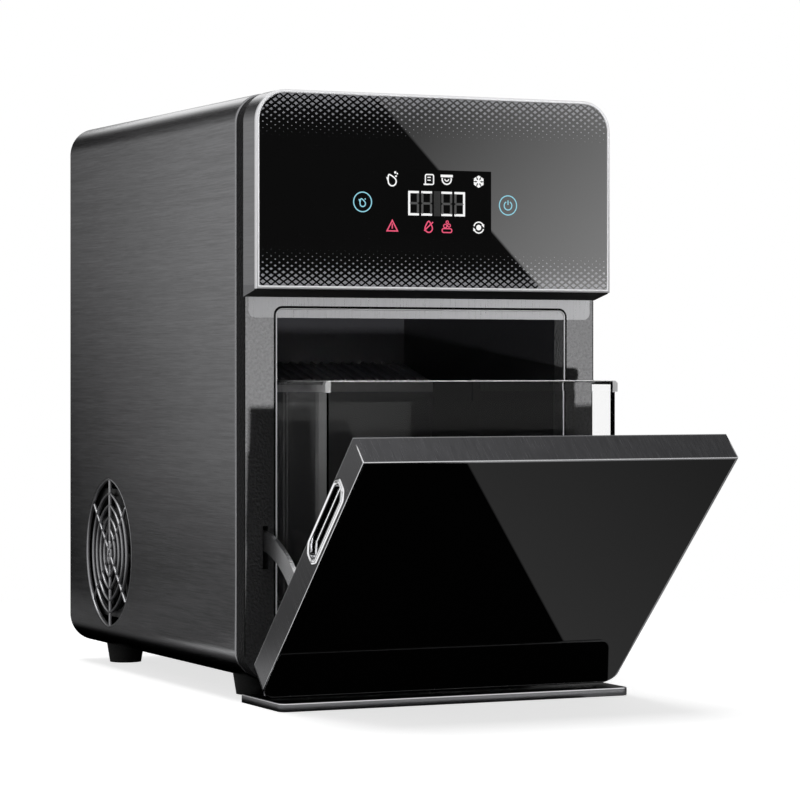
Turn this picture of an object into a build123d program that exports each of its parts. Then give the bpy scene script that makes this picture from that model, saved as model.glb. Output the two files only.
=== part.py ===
"""Countertop ice ball maker: cabinet with a control header, a tilting front door that
carries the ice bin out with it, and the ice making works behind.

Frame: millimetres, X to the right, Y to the rear, Z up.  The origin is on the counter,
below the middle of the front frame's face.  The door stands open on its stay arms.
"""
import math
import os

from build123d import *

# ---------------------------------------------------------------- driving dimensions
# Cabinet wrapper, a folded sheet tube that runs front to back
CABINET_WIDTH = 279.0
CABINET_TOP = 430.0
CABINET_BOTTOM = 15.2
CABINET_REAR = 376.5
CABINET_CORNER = 22.0
WRAPPER_WALL = 2.0

# Front frame
FRAME_DEPTH = 15.0
FRAME_INSET = 1.0
FRAME_SKIN = 3.0
FRAME_LIP_DEPTH = 9.0
FRAME_LIP_WALL = 2.5
FRAME_COLUMN = 25.5
OPENING_BOTTOM = 56.0
OPENING_TOP = 271.2

# Silver brow strip under the header and the raised line around the opening
BROW_FROM_SIDE = 4.1
BROW_HEIGHT = 14.5
BROW_THICKNESS = 1.0
BROW_CORNER = 5.0
RIM_WIDTH = 1.8
RIM_RISE = 0.5
RIM_ABOVE_OPENING = 7.8
RIM_CORNER = 6.0

# Header
HEADER_FROM_SIDE = 0.1
HEADER_DEPTH = 24.0
HEADER_BOTTOM_FRONT = 290.7
HEADER_UNDERSIDE_DROP = 5.0
BEZEL_WIDTH = 2.5
BEZEL_DEPTH = 3.0
HEADER_GLASS_RECESS = 0.2
HEADER_WALL = 4.0
HEADER_POCKET_MARGIN = 12.0
UNDERSIDE_THICKNESS = 3.0

# Door
DOOR_FROM_SIDE = 0.2
DOOR_HEIGHT = 244.5
DOOR_THICKNESS = 23.0
DOOR_BOTTOM = 42.0
DOOR_GAP = 1.0
DOOR_OPEN_ANGLE = 46.5
DOOR_BOTTOM_CORNER = 11.0
DOOR_TOP_SLOPE = 3.0
DOOR_WALL = 3.0
DOOR_TRIM_WIDTH = 1.6
DOOR_TRIM_THICKNESS = 0.8
DOOR_GLASS_THICKNESS = 2.5
DOOR_GLASS_RECESS = 0.1
DOOR_SKIN = 1.4
DOOR_INNER_PANEL = 2.0

# Door hinge, seen from the side
HINGE_Y = 14.8
HINGE_Z = 18.4
HINGE_PIN_RADIUS = 2.5
HINGE_RUNNING_CLEARANCE = 0.05
HINGE_FROM_SIDE = 39.5
EAR_WIDTH = 13.0
EAR_EYE_RADIUS = 5.0
EAR_NECK_TOP = 50.0
EAR_ROOT_TOP = 70.0
EAR_ROOT_WIDTH = 20.0
EAR_ROOT_DEPTH = 10.0
EAR_SHOULDER_Y = 2.0
EAR_SHOULDER_Z = 9.0
BRACKET_CHEEK = 3.0
BRACKET_SIDE_GAP = 0.4
BRACKET_DEPTH = 21.0
BRACKET_HEIGHT = 14.0
BRACKET_FRONT = 6.0
BRACKET_REAR_HEIGHT = 8.0
BRACKET_TOP_RUN = 4.0
BRACKET_BRIDGE = 3.0
NOTCH_REAR_GAP = 1.5
NOTCH_TOP_GAP = 1.5
NOTCH_SIDE_GAP = 3.0

# Stay arms, arcs about the hinge
STAY_FROM_SIDE = 17.0
STAY_THICKNESS = 3.0
STAY_INNER_RADIUS = 90.0
STAY_OUTER_RADIUS = 103.5
STAY_STOP_RADIUS = 109.0
STAY_STOP_ANGLE = 6.0
STAY_END_ANGLE = 35.5
STAY_SLOT_GAP = 0.6
STAY_FOOT_WIDTH = 12.0
STAY_FOOT_THICKNESS = 0.8
STAY_FOOT_OVERHANG = 5.5
STAY_ROOT_EXTRA_ANGLE = 8.0
STAY_SLOT_BOTTOM = 94.0
STAY_SLOT_TOP = 124.7

# Handle pockets in the door's sides
POCKET_FROM_TOP = 72.2
POCKET_LENGTH = 72.0
POCKET_WIDTH = 16.0
POCKET_DEPTH = 14.0
POCKET_WALL = 1.4
POCKET_CHAMFER_WIDTH = 4.5
POCKET_CHAMFER_LENGTH = 6.0
POCKET_CORNER = 2.0
HANDLE_RIM_OVERHANG = 2.1
HANDLE_RIM_RISE = 1.0

# Base plate, the flat foot in front of the cabinet
PLATE_WIDTH = 272.0
PLATE_FRONT = 60.0
PLATE_REAR = 12.0
PLATE_THICKNESS = 6.0
PLATE_CORNER = 5.0
PLATE_TONGUE_WIDTH = 120.0
PLATE_TONGUE_REAR = 40.0
PLATE_TONGUE_THICKNESS = 3.0
PLATE_TONGUE_RISER_Y = 2.0

# Ice bin (the clear basket)
BIN_SIDE_GAP = 1.0
BIN_FRONT = -84.0
BIN_LENGTH = 220.0
BIN_TOP = 227.0
BIN_WALL = 2.5
BIN_RIM_HEIGHT = 8.0
BIN_RIM_RISE = 1.5
BIN_RIM_CORNER = 3.0
BIN_SLOPE_TOP = 130.0
BIN_SLOPE_SETBACK = 49.0
BIN_REAR_NOTCH = 17.0
BIN_TRAVEL = 86.0
BIN_RAIL_GAP = 0.3
RAIL_HEIGHT = 3.0
RAIL_WIDTH = 10.0
RAIL_X = 60.0

# Liner of the bin space and of the ice chamber above it
LINER_WALL = 3.0
LINER_FLOOR_THICKNESS = 3.0
LINER_FLOOR_DROP = 2.0
BULKHEAD_Y = 228.0
BULKHEAD_TOP = 217.0
CHAMBER_REAR = 280.0
CHAMBER_TOP = 405.0
DRAIN_SLOT_ROWS = 7
DRAIN_SLOT_COLUMNS = 5
DRAIN_SLOT_PITCH_X = 20.0
DRAIN_SLOT_PITCH_Y = 26.0
DRAIN_SLOT_LENGTH = 15.0
DRAIN_SLOT_WIDTH = 5.0

# Ribbed ramp from the chamber down to the bin
RAMP_LIP_Y = 226.0
RAMP_LIP_TOP = 224.4
RAMP_REAR_TOP = 239.0
RAMP_THICKNESS = 4.5
RIB_PITCH = 9.0
RIB_WIDTH = 2.5
RIB_HEIGHT = 2.0
RIB_START = 4.0
RIB_NOSE = 2.0
RIB_SINK = 1.0

# Moulds
BALL_RADIUS = 21.0
BALL_PITCH = 52.0
BALL_COLUMNS = 3
BALL_ROWS = 2
MOULD_CENTRE_Y = 170.0
MOULD_MARGIN = 10.0
MOULD_SPLIT_Z = 321.8
MOULD_SPLIT_GAP = 0.4
UPPER_MOULD_HEIGHT = 30.0
LOWER_MOULD_HEIGHT = 25.0
FILL_HOLE_RADIUS = 1.5
HANGER_WIDTH = 30.0
HANGER_THICKNESS = 8.0
HANGER_OVERLAP = 2.0
TRAY_EAR_MARGIN = 6.0
TRAY_EAR_TOP = 5.5
TRAY_EAR_DROP = 2.0
TRAY_PIVOT_AHEAD = 4.0
TRAY_PIVOT_DROP = 7.8
TRAY_SHAFT_RADIUS = 4.0
TRAY_EAR_THICKNESS = 6.0
TRAY_TILT = 35.0
SHAFT_CLEARANCE = 0.05

# Gear drive of the tray
GEAR_MODULE = 1.25
GEAR_TEETH = 30
PINION_TEETH = 18
GEAR_THICKNESS = 5.0
GEAR_BACKLASH = 0.25
GEAR_FACE_GAP = 2.0
PRESSURE_ANGLE = 20.0
TOOTH_TIP = 0.9
TOOTH_ROOT = 1.25
TOOTH_SINK = 0.4
FLANK_STEPS = 5
MOTOR_RADIUS = 18.0
MOTOR_DEPTH = 9.0
MOTOR_FLANGE = 2.0
MOTOR_SHAFT_RADIUS = 2.5
MOTOR_POST_RADIUS = 3.0
MOTOR_POST_SPREAD = 25.0
MOTOR_POST_RISE = 8.0
MOTOR_LUG_WIDTH = 12.0
MOTOR_FACE_GAP = 1.5
MOTOR_BORE_END = 1.0

# Evaporator, water manifold and pipes
COIL_TUBE_RADIUS = 4.0
COIL_HALF_LENGTH = 62.0
COIL_SEAT = 0.3
MANIFOLD_LIFT = 20.0
MANIFOLD_HEIGHT = 10.0
MANIFOLD_MARGIN = 10.0
NOZZLE_RADIUS = 3.0
HOSE_RADIUS = 5.0
PIPE_RADIUS = 3.5
CAPILLARY_RADIUS = 1.6
CAPILLARY_LOOP_GAP = 10.0
SUCTION_LOOP_GAP = 23.0
TUBE_RUN_BEHIND = 22.0
TUBE_BEND = 11.0
CAPILLARY_BEND = 6.0
TUBE_RISE = 30.0
SUCTION_RISE = 40.0
CAPILLARY_DROP = 40.0
DISCHARGE_OFFSET = 16.0
HOSE_BEND = 20.0
HOSE_FIRST_RISE = 60.0
HOSE_SECOND_RISE = 110.0
PIPE_HOLE_GAP = 0.5

# Works at the rear
PAN_THICKNESS = 2.5
PAN_FRONT = 38.0
REAR_PANEL_RECESS = 3.0
REAR_PANEL_THICKNESS = 3.0
LOUVRE_Z = 170.0
LOUVRE_LENGTH = 40.0
LOUVRE_WIDTH = 5.0
LOUVRE_COLUMNS = 12
LOUVRE_ROWS = 4
LOUVRE_PITCH_X = 12.0
LOUVRE_PITCH_Z = 50.0
REAR_SCREW_FROM_SIDE = 12.0
REAR_SCREW_FROM_END = 30.0
TANK_HEIGHT = 24.0
TANK_WALL = 2.0
TANK_MARGIN = 9.0
TANK_FRONT = 42.0
TANK_BULKHEAD_GAP = 6.0
PUMP_FROM_SIDE = 94.5
PUMP_Y = 252.0
PUMP_RADIUS = 14.0
PUMP_HEIGHT = 32.0
PUMP_INLET_RADIUS = 5.0
PUMP_INLET_Z = 32.0
PUMP_SPOUT = 4.0
COMPRESSOR_FROM_SIDE = 97.5
COMPRESSOR_Y = 304.0
COMPRESSOR_RADIUS = 46.0
COMPRESSOR_HEIGHT = 112.0
COMPRESSOR_LEG = 8.0
COMPRESSOR_DOME = 18.0
COMPRESSOR_BASE_EDGE = 10.0
COMPRESSOR_LEG_RADIUS = 8.0
COMPRESSOR_LEG_RISE = 14.0
COMPRESSOR_LEG_SPREAD = 28.5
CONDENSER_FROM_SIDE = 57.5
CONDENSER_WIDTH = 24.0
CONDENSER_LENGTH = 92.0
CONDENSER_HEIGHT = 130.0
CONDENSER_FINS = 18
CONDENSER_END_PLATE = 8.0
CONDENSER_GAP_SHARE = 0.6
CONDENSER_TUBE_OFFSET = 20.0
CONDENSER_TUBE_RADIUS = 4.5
DRIER_LIFT = 12.0
DRIER_EDGE = 4.0
DRIER_RADIUS = 9.0
DRIER_LENGTH = 60.0
DRIER_Y = 300.0

# Side vents and the fan behind the left one
VENT_Y = 283.5
VENT_Z = 91.0
VENT_HALF_WIDTH = 53.5
VENT_HALF_HEIGHT = 58.6
VENT_RINGS = 6
VENT_RING_STEP_Y = 8.8
VENT_RING_STEP_Z = 9.3
VENT_BAR = 1.8
VENT_DEPTH = 2.6
VENT_RING_START_Y = 5.0
FAN_RADIUS = 44.0
FAN_TIP_GAP = 1.5
FAN_HUB_RADIUS = 14.0
FAN_BLADES = 7
FAN_PITCH_ANGLE = 32.0
FAN_DEPTH = 12.0
SHROUD_SIDE = 100.0
SHROUD_DEPTH = 16.0
SHROUD_GAP = 3.0
SHROUD_WALL = 2.5
SHROUD_FOOT = 10.0
FAN_MOTOR_RADIUS = 16.0
FAN_MOTOR_DEPTH = 15.0
FAN_SHAFT_RADIUS = 2.0
FAN_SHAFT_HOLE_GAP = 1.0
FAN_STRUT_WIDTH = 8.0
FAN_HUB_GAP = 0.5
FAN_HUB_STRUT_GAP = 1.0
FAN_BLADE_SINK = 4.0
FAN_BLADE_THICKNESS = 1.6
FAN_SHAFT_END_GAP = 1.0

# Electrics and drain
BOARD_THICKNESS = 1.6
BOARD_WIDTH = 110.0
BOARD_HEIGHT = 90.0
BOARD_Z = 300.0
BOARD_STANDOFF = 16.0
POST_RADIUS = 3.0
BOARD_POST_MARGIN = 6.0
TRANSFORMER_X = (-40.0, -12.0)
TRANSFORMER_DROP = 30.0
TRANSFORMER_DEPTH = 22.0
RELAY_X = (0.0, 34.0)
RELAY_RISE = (8.0, 30.0)
RELAY_DEPTH = 15.0
CAPACITOR_X = 20.0
CAPACITOR_DROP = 20.0
CAPACITOR_DEPTH = 20.0
CAPACITOR_RADIUS = 8.0
INLET_FROM_SIDE = 44.5
INLET_Z = 62.0
INLET_WIDTH = 27.0
INLET_HEIGHT = 20.0
INLET_FLANGE = 6.0
INLET_FLANGE_MARGIN = 2.0
INLET_FLANGE_THICKNESS = 2.0
INLET_DEPTH = 14.0
INLET_WALL = 2.0
INLET_BLADES = ((-7.0, -1.5), (0.0, 2.5), (7.0, -1.5))
INLET_BLADE_WIDTH = 2.0
INLET_BLADE_HEIGHT = 5.0
INLET_BLADE_RECESS = 1.0
INLET_BLADE_SINK = 0.5
DRAIN_FROM_SIDE = 39.5
DRAIN_Z = 34.0
DRAIN_RADIUS = 8.0
DRAIN_WALL = 2.0
DRAIN_LENGTH = 30.0
DRAIN_CAP_WALL = 2.0
DRAIN_CAP_LENGTH = 9.0
DRAIN_STAND_OUT = 3.0
DRAIN_END_WALL = 4.0
DRAIN_CAP_GAP = 0.3
DRAIN_CAP_LIP = 2.0
DRAIN_PLUG_CLEARANCE = 0.05
DISPLAY_X = 0.0
DISPLAY_Z = 352.7
DISPLAY_WIDTH = 85.0
DISPLAY_HEIGHT = 48.0
DISPLAY_BOARD_WIDTH = 200.0
DISPLAY_BOARD_HEIGHT = 72.0
DISPLAY_POST_LENGTH = 6.0
DISPLAY_POST_MARGIN = 9.0
TOUCH_X = 57.6
TOUCH_RADIUS = 8.0

# Feet and screws
FOOT_RADIUS = 15.0
FOOT_FROM_SIDE = 34.5
FOOT_FRONT_Y = 66.0
FOOT_REAR_Y = 340.0
FOOT_TAPER = 2.5
FOOT_SCREW_DEPTH = 4.0
FOOT_SCREW_RADIUS = 4.6
SCREW_HEAD_RADIUS = 3.6
SCREW_HEAD_HEIGHT = 2.0
SCREW_RADIUS = 1.6

# ---------------------------------------------------------------- worked out from them
HALF_WIDTH = CABINET_WIDTH / 2
HALF_HEADER = HALF_WIDTH - HEADER_FROM_SIDE
HEADER_WIDTH = 2 * HALF_HEADER
HALF_DOOR = HALF_WIDTH - DOOR_FROM_SIDE
DOOR_WIDTH = 2 * HALF_DOOR
OPENING_HALF_WIDTH = HALF_WIDTH - FRAME_COLUMN
BROW_HALF_WIDTH = HALF_WIDTH - BROW_FROM_SIDE
HALF_BIN = OPENING_HALF_WIDTH - BIN_SIDE_GAP
HINGE_X = HALF_WIDTH - HINGE_FROM_SIDE
STAY_X = HALF_WIDTH - STAY_FROM_SIDE
FOOT_X = HALF_WIDTH - FOOT_FROM_SIDE
PUMP_X = PUMP_FROM_SIDE - HALF_WIDTH
COMPRESSOR_X = HALF_WIDTH - COMPRESSOR_FROM_SIDE
CONDENSER_X = CONDENSER_FROM_SIDE - HALF_WIDTH
INLET_X = HALF_WIDTH - INLET_FROM_SIDE
DRAIN_X = DRAIN_FROM_SIDE - HALF_WIDTH
INNER_HALF = HALF_WIDTH - WRAPPER_WALL
CABINET_HEIGHT = CABINET_TOP - CABINET_BOTTOM
CABINET_MID_Z = (CABINET_TOP + CABINET_BOTTOM) / 2
FLOOR_Z = CABINET_BOTTOM + WRAPPER_WALL
PAN_TOP = FLOOR_Z + PAN_THICKNESS
PAN_HALF_WIDTH = HALF_WIDTH - CABINET_CORNER
FRAME_BOTTOM = CABINET_BOTTOM + FRAME_INSET
HEADER_BOTTOM_REAR = HEADER_BOTTOM_FRONT - HEADER_UNDERSIDE_DROP
DOOR_REAR = -DOOR_GAP
DOOR_FRONT = DOOR_REAR - DOOR_THICKNESS
DOOR_TOP = DOOR_BOTTOM + DOOR_HEIGHT
DOOR_SKIN_FRONT = DOOR_FRONT + DOOR_TRIM_THICKNESS + DOOR_GLASS_THICKNESS
LINER_OUTER = OPENING_HALF_WIDTH + LINER_WALL
LINER_FLOOR_TOP = OPENING_BOTTOM - LINER_FLOOR_DROP
LINER_FLOOR_BOTTOM = LINER_FLOOR_TOP - LINER_FLOOR_THICKNESS
BIN_BOTTOM = LINER_FLOOR_TOP + RAIL_HEIGHT + BIN_RAIL_GAP
REAR_PANEL_FACE = CABINET_REAR - REAR_PANEL_RECESS
REAR_PANEL_BACK = REAR_PANEL_FACE - REAR_PANEL_THICKNESS
NOTCH_HALF = EAR_WIDTH / 2 + BRACKET_SIDE_GAP + BRACKET_CHEEK + NOTCH_SIDE_GAP
NOTCH_TOP = EAR_NECK_TOP + NOTCH_TOP_GAP
NOTCH_REAR = HINGE_Y + EAR_EYE_RADIUS + NOTCH_REAR_GAP
MOULD_HALF_X = BALL_PITCH * (BALL_COLUMNS - 1) / 2 + BALL_RADIUS + MOULD_MARGIN / 2
MOULD_HALF_Y = BALL_PITCH * (BALL_ROWS - 1) / 2 + BALL_RADIUS + MOULD_MARGIN
UPPER_MOULD_TOP = MOULD_SPLIT_Z + MOULD_SPLIT_GAP / 2 + UPPER_MOULD_HEIGHT
TRAY_TOP = MOULD_SPLIT_Z - MOULD_SPLIT_GAP / 2
TRAY_PIVOT_Y = MOULD_CENTRE_Y - MOULD_HALF_Y - TRAY_PIVOT_AHEAD
TRAY_PIVOT_Z = MOULD_SPLIT_Z - TRAY_PIVOT_DROP
GEAR_RADIUS = GEAR_MODULE * GEAR_TEETH / 2
PINION_RADIUS = GEAR_MODULE * PINION_TEETH / 2
PINION_Z = TRAY_PIVOT_Z + GEAR_RADIUS + PINION_RADIUS
GEAR_X = LINER_OUTER + GEAR_FACE_GAP
MOTOR_FACE = GEAR_X + GEAR_THICKNESS + MOTOR_FACE_GAP
COIL_Z = UPPER_MOULD_TOP + COIL_TUBE_RADIUS - COIL_SEAT
MANIFOLD_Z = UPPER_MOULD_TOP + MANIFOLD_LIFT
HOSE_Z = MANIFOLD_Z + MANIFOLD_HEIGHT / 2
TUBE_RUN_Y = CHAMBER_REAR + LINER_WALL + TUBE_RUN_BEHIND
SUCTION_X = COIL_HALF_LENGTH + SUCTION_LOOP_GAP
CAPILLARY_X = -COIL_HALF_LENGTH - BALL_PITCH / 2 - CAPILLARY_LOOP_GAP
COMPRESSOR_TOP = PAN_TOP + COMPRESSOR_LEG + COMPRESSOR_HEIGHT
CONDENSER_TOP = PAN_TOP + CONDENSER_HEIGHT
SHROUD_X = INNER_HALF - SHROUD_GAP
BIN_REAR = BIN_FRONT + BIN_LENGTH

DOOR_HINGE_AXIS = Axis((0, HINGE_Y, HINGE_Z), (1, 0, 0))
SIDES = ((-1, "left"), (1, "right"))


# ---------------------------------------------------------------- shared helpers
def facing_front(y):
    """Upright plane at depth y: X across, Z up, extrusions run towards the front."""
    return Plane.XZ.offset(-y)


def facing_right(x):
    """Upright plane at x: Y across, Z up, extrusions run to the right."""
    return Plane.YZ.offset(x)


def span(x, y, z, mode=Mode.ADD):
    """Box between two corners, each argument a (low, high) pair."""
    with Locations((sum(x) / 2, sum(y) / 2, sum(z) / 2)):
        Box(x[1] - x[0], y[1] - y[0], z[1] - z[0], mode=mode)


def spanned(low, high):
    """Rectangle between two corners of the sketch it stands in."""
    with Locations(((low[0] + high[0]) / 2, (low[1] + high[1]) / 2)):
        Rectangle(high[0] - low[0], high[1] - low[1])


def rod_x(x, y, z, radius, mode=Mode.ADD):
    """Round rod along X between the two ends in x."""
    with Locations(Location(((x[0] + x[1]) / 2, y, z), (0, 90, 0))):
        Cylinder(radius, x[1] - x[0], mode=mode)


def rod_y(x, y, z, radius, mode=Mode.ADD):
    """Round rod along Y between the two ends in y."""
    with Locations(Location((x, (y[0] + y[1]) / 2, z), (90, 0, 0))):
        Cylinder(radius, y[1] - y[0], mode=mode)


def rod_z(x, y, z, radius, mode=Mode.ADD):
    """Round rod along Z between the two ends in z."""
    with Locations((x, y, (z[0] + z[1]) / 2)):
        Cylinder(radius, z[1] - z[0], mode=mode)


def across(side, near, far):
    """Low and high X of a piece that lies between two distances from the middle."""
    return (side * near, side * far) if side > 0 else (side * far, side * near)


def pipe(points, bend, radius):
    """Tube solid along straight runs joined by tangent bends."""
    with BuildPart() as tube:
        with BuildLine() as route:
            FilletPolyline(*points, radius=bend)
        with BuildSketch(Plane(origin=route.line @ 0, z_dir=route.line % 0)):
            Circle(radius)
        sweep()
    return tube.part


def save(piece, name):
    """Label a finished piece and write it as its own STEP file."""
    piece.label = name
    export_step(piece, "parts/" + name + ".step")


def save_open(piece, name):
    """Turn a door piece from its closed place to the open stop and write it."""
    save(piece.rotate(DOOR_HINGE_AXIS, DOOR_OPEN_ANGLE), name)


os.makedirs("parts", exist_ok=True)

# ---------------------------------------------------------------- vents
def vent_outline(ring):
    """Sketch of a pointed oval about the vent's centre, ring 0 the largest."""
    half_width = VENT_HALF_WIDTH - VENT_RING_START_Y - VENT_RING_STEP_Y * ring
    half_width = VENT_HALF_WIDTH if ring == 0 else half_width
    half_height = VENT_HALF_HEIGHT - VENT_BAR - VENT_RING_STEP_Z * ring
    half_height = VENT_HALF_HEIGHT if ring == 0 else half_height
    with BuildSketch() as oval:
        with BuildLine(mode=Mode.PRIVATE) as outline:
            ThreePointArc((0, half_height), (half_width, 0), (0, -half_height))
            ThreePointArc((0, -half_height), (-half_width, 0), (0, half_height))
        add(make_face(outline.edges(), mode=Mode.PRIVATE))
    return oval.sketch


def vent_ring(ring):
    """Sketch of one bar of the grille, a closed pointed ring."""
    with BuildSketch() as bar:
        add(vent_outline(ring))
        offset(amount=-VENT_BAR, mode=Mode.SUBTRACT)
    return bar.sketch


# ---------------------------------------------------------------- cabinet wrapper
with BuildPart() as wrapper_shell:
    with BuildSketch(facing_front(CABINET_REAR)):
        with Locations((0, CABINET_MID_Z)):
            RectangleRounded(CABINET_WIDTH, CABINET_HEIGHT, CABINET_CORNER)
            RectangleRounded(
                CABINET_WIDTH - 2 * WRAPPER_WALL,
                CABINET_HEIGHT - 2 * WRAPPER_WALL,
                CABINET_CORNER - WRAPPER_WALL,
                mode=Mode.SUBTRACT,
            )
    extrude(amount=CABINET_REAR - FRAME_DEPTH)
    with BuildSketch(facing_right(-HALF_WIDTH)):
        with Locations((VENT_Y, VENT_Z)):
            add(vent_outline(0))
    extrude(amount=CABINET_WIDTH, mode=Mode.SUBTRACT)
    for side, _ in SIDES:
        span(
            across(side, HINGE_X - NOTCH_HALF, HINGE_X + NOTCH_HALF),
            (FRAME_DEPTH, NOTCH_REAR),
            (CABINET_BOTTOM, FLOOR_Z),
            mode=Mode.SUBTRACT,
        )
save(wrapper_shell.part, "wrapper_shell")

for side, side_name in SIDES:
    with BuildPart() as vent_grille:
        with BuildSketch(facing_right(side * HALF_WIDTH)):
            with Locations((VENT_Y, VENT_Z)):
                for ring in range(VENT_RINGS):
                    add(vent_ring(ring))
                Rectangle(VENT_BAR, 2 * VENT_HALF_HEIGHT - VENT_BAR)
                for turn in (-45, 45):
                    with Locations(Location((0, 0, 0), turn)):
                        Rectangle(VENT_BAR, 2 * VENT_HALF_WIDTH - 2 * VENT_BAR)
        extrude(amount=-side * VENT_DEPTH)
    save(vent_grille.part, "vent_grille_" + side_name)

# ---------------------------------------------------------------- front frame
with BuildPart() as front_frame:
    with BuildSketch(facing_front(FRAME_DEPTH)):
        with Locations((0, CABINET_MID_Z)):
            RectangleRounded(
                CABINET_WIDTH - 2 * FRAME_INSET,
                CABINET_HEIGHT - 2 * FRAME_INSET,
                CABINET_CORNER - FRAME_INSET,
            )
    extrude(amount=FRAME_DEPTH)
    with BuildSketch(facing_front(FRAME_DEPTH + FRAME_LIP_DEPTH)):
        with Locations((0, CABINET_MID_Z)):
            RectangleRounded(
                2 * INNER_HALF, CABINET_HEIGHT - 2 * WRAPPER_WALL, CABINET_CORNER - WRAPPER_WALL
            )
            RectangleRounded(
                2 * (INNER_HALF - FRAME_LIP_WALL),
                CABINET_HEIGHT - 2 * (WRAPPER_WALL + FRAME_LIP_WALL),
                CABINET_CORNER - WRAPPER_WALL - FRAME_LIP_WALL,
                mode=Mode.SUBTRACT,
            )
    extrude(amount=FRAME_LIP_DEPTH)
    span(
        (-HALF_WIDTH, HALF_WIDTH),
        (FRAME_DEPTH, FRAME_DEPTH + FRAME_LIP_DEPTH),
        (CABINET_BOTTOM, OPENING_BOTTOM),
        mode=Mode.SUBTRACT,
    )
    span(
        (-OPENING_HALF_WIDTH, OPENING_HALF_WIDTH),
        (0, FRAME_DEPTH),
        (OPENING_BOTTOM, OPENING_TOP),
        mode=Mode.SUBTRACT,
    )
    span(
        (-OPENING_HALF_WIDTH, OPENING_HALF_WIDTH),
        (FRAME_SKIN, FRAME_DEPTH),
        (HEADER_BOTTOM_FRONT, CHAMBER_TOP),
        mode=Mode.SUBTRACT,
    )
    with BuildSketch(facing_front(BROW_THICKNESS)) as brow_outline:
        spanned((-BROW_HALF_WIDTH, OPENING_TOP), (BROW_HALF_WIDTH, OPENING_TOP + BROW_HEIGHT))
        fillet(brow_outline.vertices().group_by(Axis.Y)[0], BROW_CORNER)
    extrude(amount=BROW_THICKNESS, mode=Mode.SUBTRACT)
    for side, _ in SIDES:
        span(
            across(side, HINGE_X - NOTCH_HALF, HINGE_X + NOTCH_HALF),
            (0, FRAME_DEPTH),
            (FRAME_BOTTOM, NOTCH_TOP),
            mode=Mode.SUBTRACT,
        )
        half_slot = STAY_THICKNESS / 2 + STAY_SLOT_GAP
        span(
            across(side, STAY_X - half_slot, STAY_X + half_slot),
            (0, FRAME_DEPTH),
            (STAY_SLOT_BOTTOM, STAY_SLOT_TOP),
            mode=Mode.SUBTRACT,
        )
save(front_frame.part, "front_frame")

with BuildPart() as brow_strip:
    with BuildSketch(facing_front(BROW_THICKNESS)) as brow_outline:
        spanned((-BROW_HALF_WIDTH, OPENING_TOP), (BROW_HALF_WIDTH, OPENING_TOP + BROW_HEIGHT))
        fillet(brow_outline.vertices().group_by(Axis.Y)[0], BROW_CORNER)
    extrude(amount=BROW_THICKNESS)
save(brow_strip.part, "brow_strip")

with BuildPart() as opening_rim:
    with BuildSketch(facing_front(0)) as rim_outline:
        spanned(
            (-OPENING_HALF_WIDTH - RIM_WIDTH, OPENING_BOTTOM - RIM_WIDTH),
            (OPENING_HALF_WIDTH + RIM_WIDTH, OPENING_TOP + RIM_ABOVE_OPENING),
        )
        fillet(rim_outline.vertices(), RIM_CORNER)
        offset(amount=-RIM_WIDTH, mode=Mode.SUBTRACT)
    extrude(amount=RIM_RISE)
save(opening_rim.part, "opening_rim")

# ---------------------------------------------------------------- header
def header_outline(inset):
    """Sketch of the header's face: square bottom corners and round top corners."""
    with BuildSketch() as face:
        spanned(
            (-HALF_HEADER + inset, HEADER_BOTTOM_FRONT + inset),
            (HALF_HEADER - inset, CABINET_TOP - inset),
        )
        fillet(face.vertices().group_by(Axis.Y)[-1], CABINET_CORNER - inset)
    return face.sketch


with BuildPart() as header_housing:
    with BuildSketch(facing_front(0)):
        add(header_outline(0))
    extrude(amount=HEADER_DEPTH - BEZEL_DEPTH)
    span(
        (-HALF_HEADER, HALF_HEADER),
        (-HEADER_DEPTH, 0),
        (HEADER_BOTTOM_FRONT, HEADER_BOTTOM_FRONT + UNDERSIDE_THICKNESS),
        mode=Mode.SUBTRACT,
    )
    span(
        (-HALF_HEADER + HEADER_POCKET_MARGIN, HALF_HEADER - HEADER_POCKET_MARGIN),
        (-HEADER_DEPTH, -HEADER_WALL),
        (HEADER_BOTTOM_FRONT + HEADER_POCKET_MARGIN, CABINET_TOP - HEADER_POCKET_MARGIN),
        mode=Mode.SUBTRACT,
    )
save(header_housing.part, "header_housing")

with BuildPart() as header_bezel:
    with BuildSketch(facing_front(BEZEL_DEPTH - HEADER_DEPTH)):
        add(header_outline(0))
        add(header_outline(BEZEL_WIDTH), mode=Mode.SUBTRACT)
    extrude(amount=BEZEL_DEPTH)
save(header_bezel.part, "header_bezel")

with BuildPart() as header_glass:
    with BuildSketch(facing_front(BEZEL_DEPTH - HEADER_DEPTH)):
        add(header_outline(BEZEL_WIDTH))
    extrude(amount=BEZEL_DEPTH - HEADER_GLASS_RECESS)
save(header_glass.part, "header_glass")

with BuildPart() as header_underside:
    underside_fall = HEADER_UNDERSIDE_DROP * BEZEL_DEPTH / HEADER_DEPTH
    underside_top = HEADER_BOTTOM_FRONT + UNDERSIDE_THICKNESS
    with BuildSketch(facing_right(-HALF_HEADER)):
        with BuildLine():
            Polyline(
                (BEZEL_DEPTH - HEADER_DEPTH, HEADER_BOTTOM_FRONT - underside_fall),
                (0, HEADER_BOTTOM_REAR),
                (0, underside_top),
                (BEZEL_DEPTH - HEADER_DEPTH, underside_top),
                close=True,
            )
        make_face()
    extrude(amount=HEADER_WIDTH)
save(header_underside.part, "header_underside")

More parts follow.
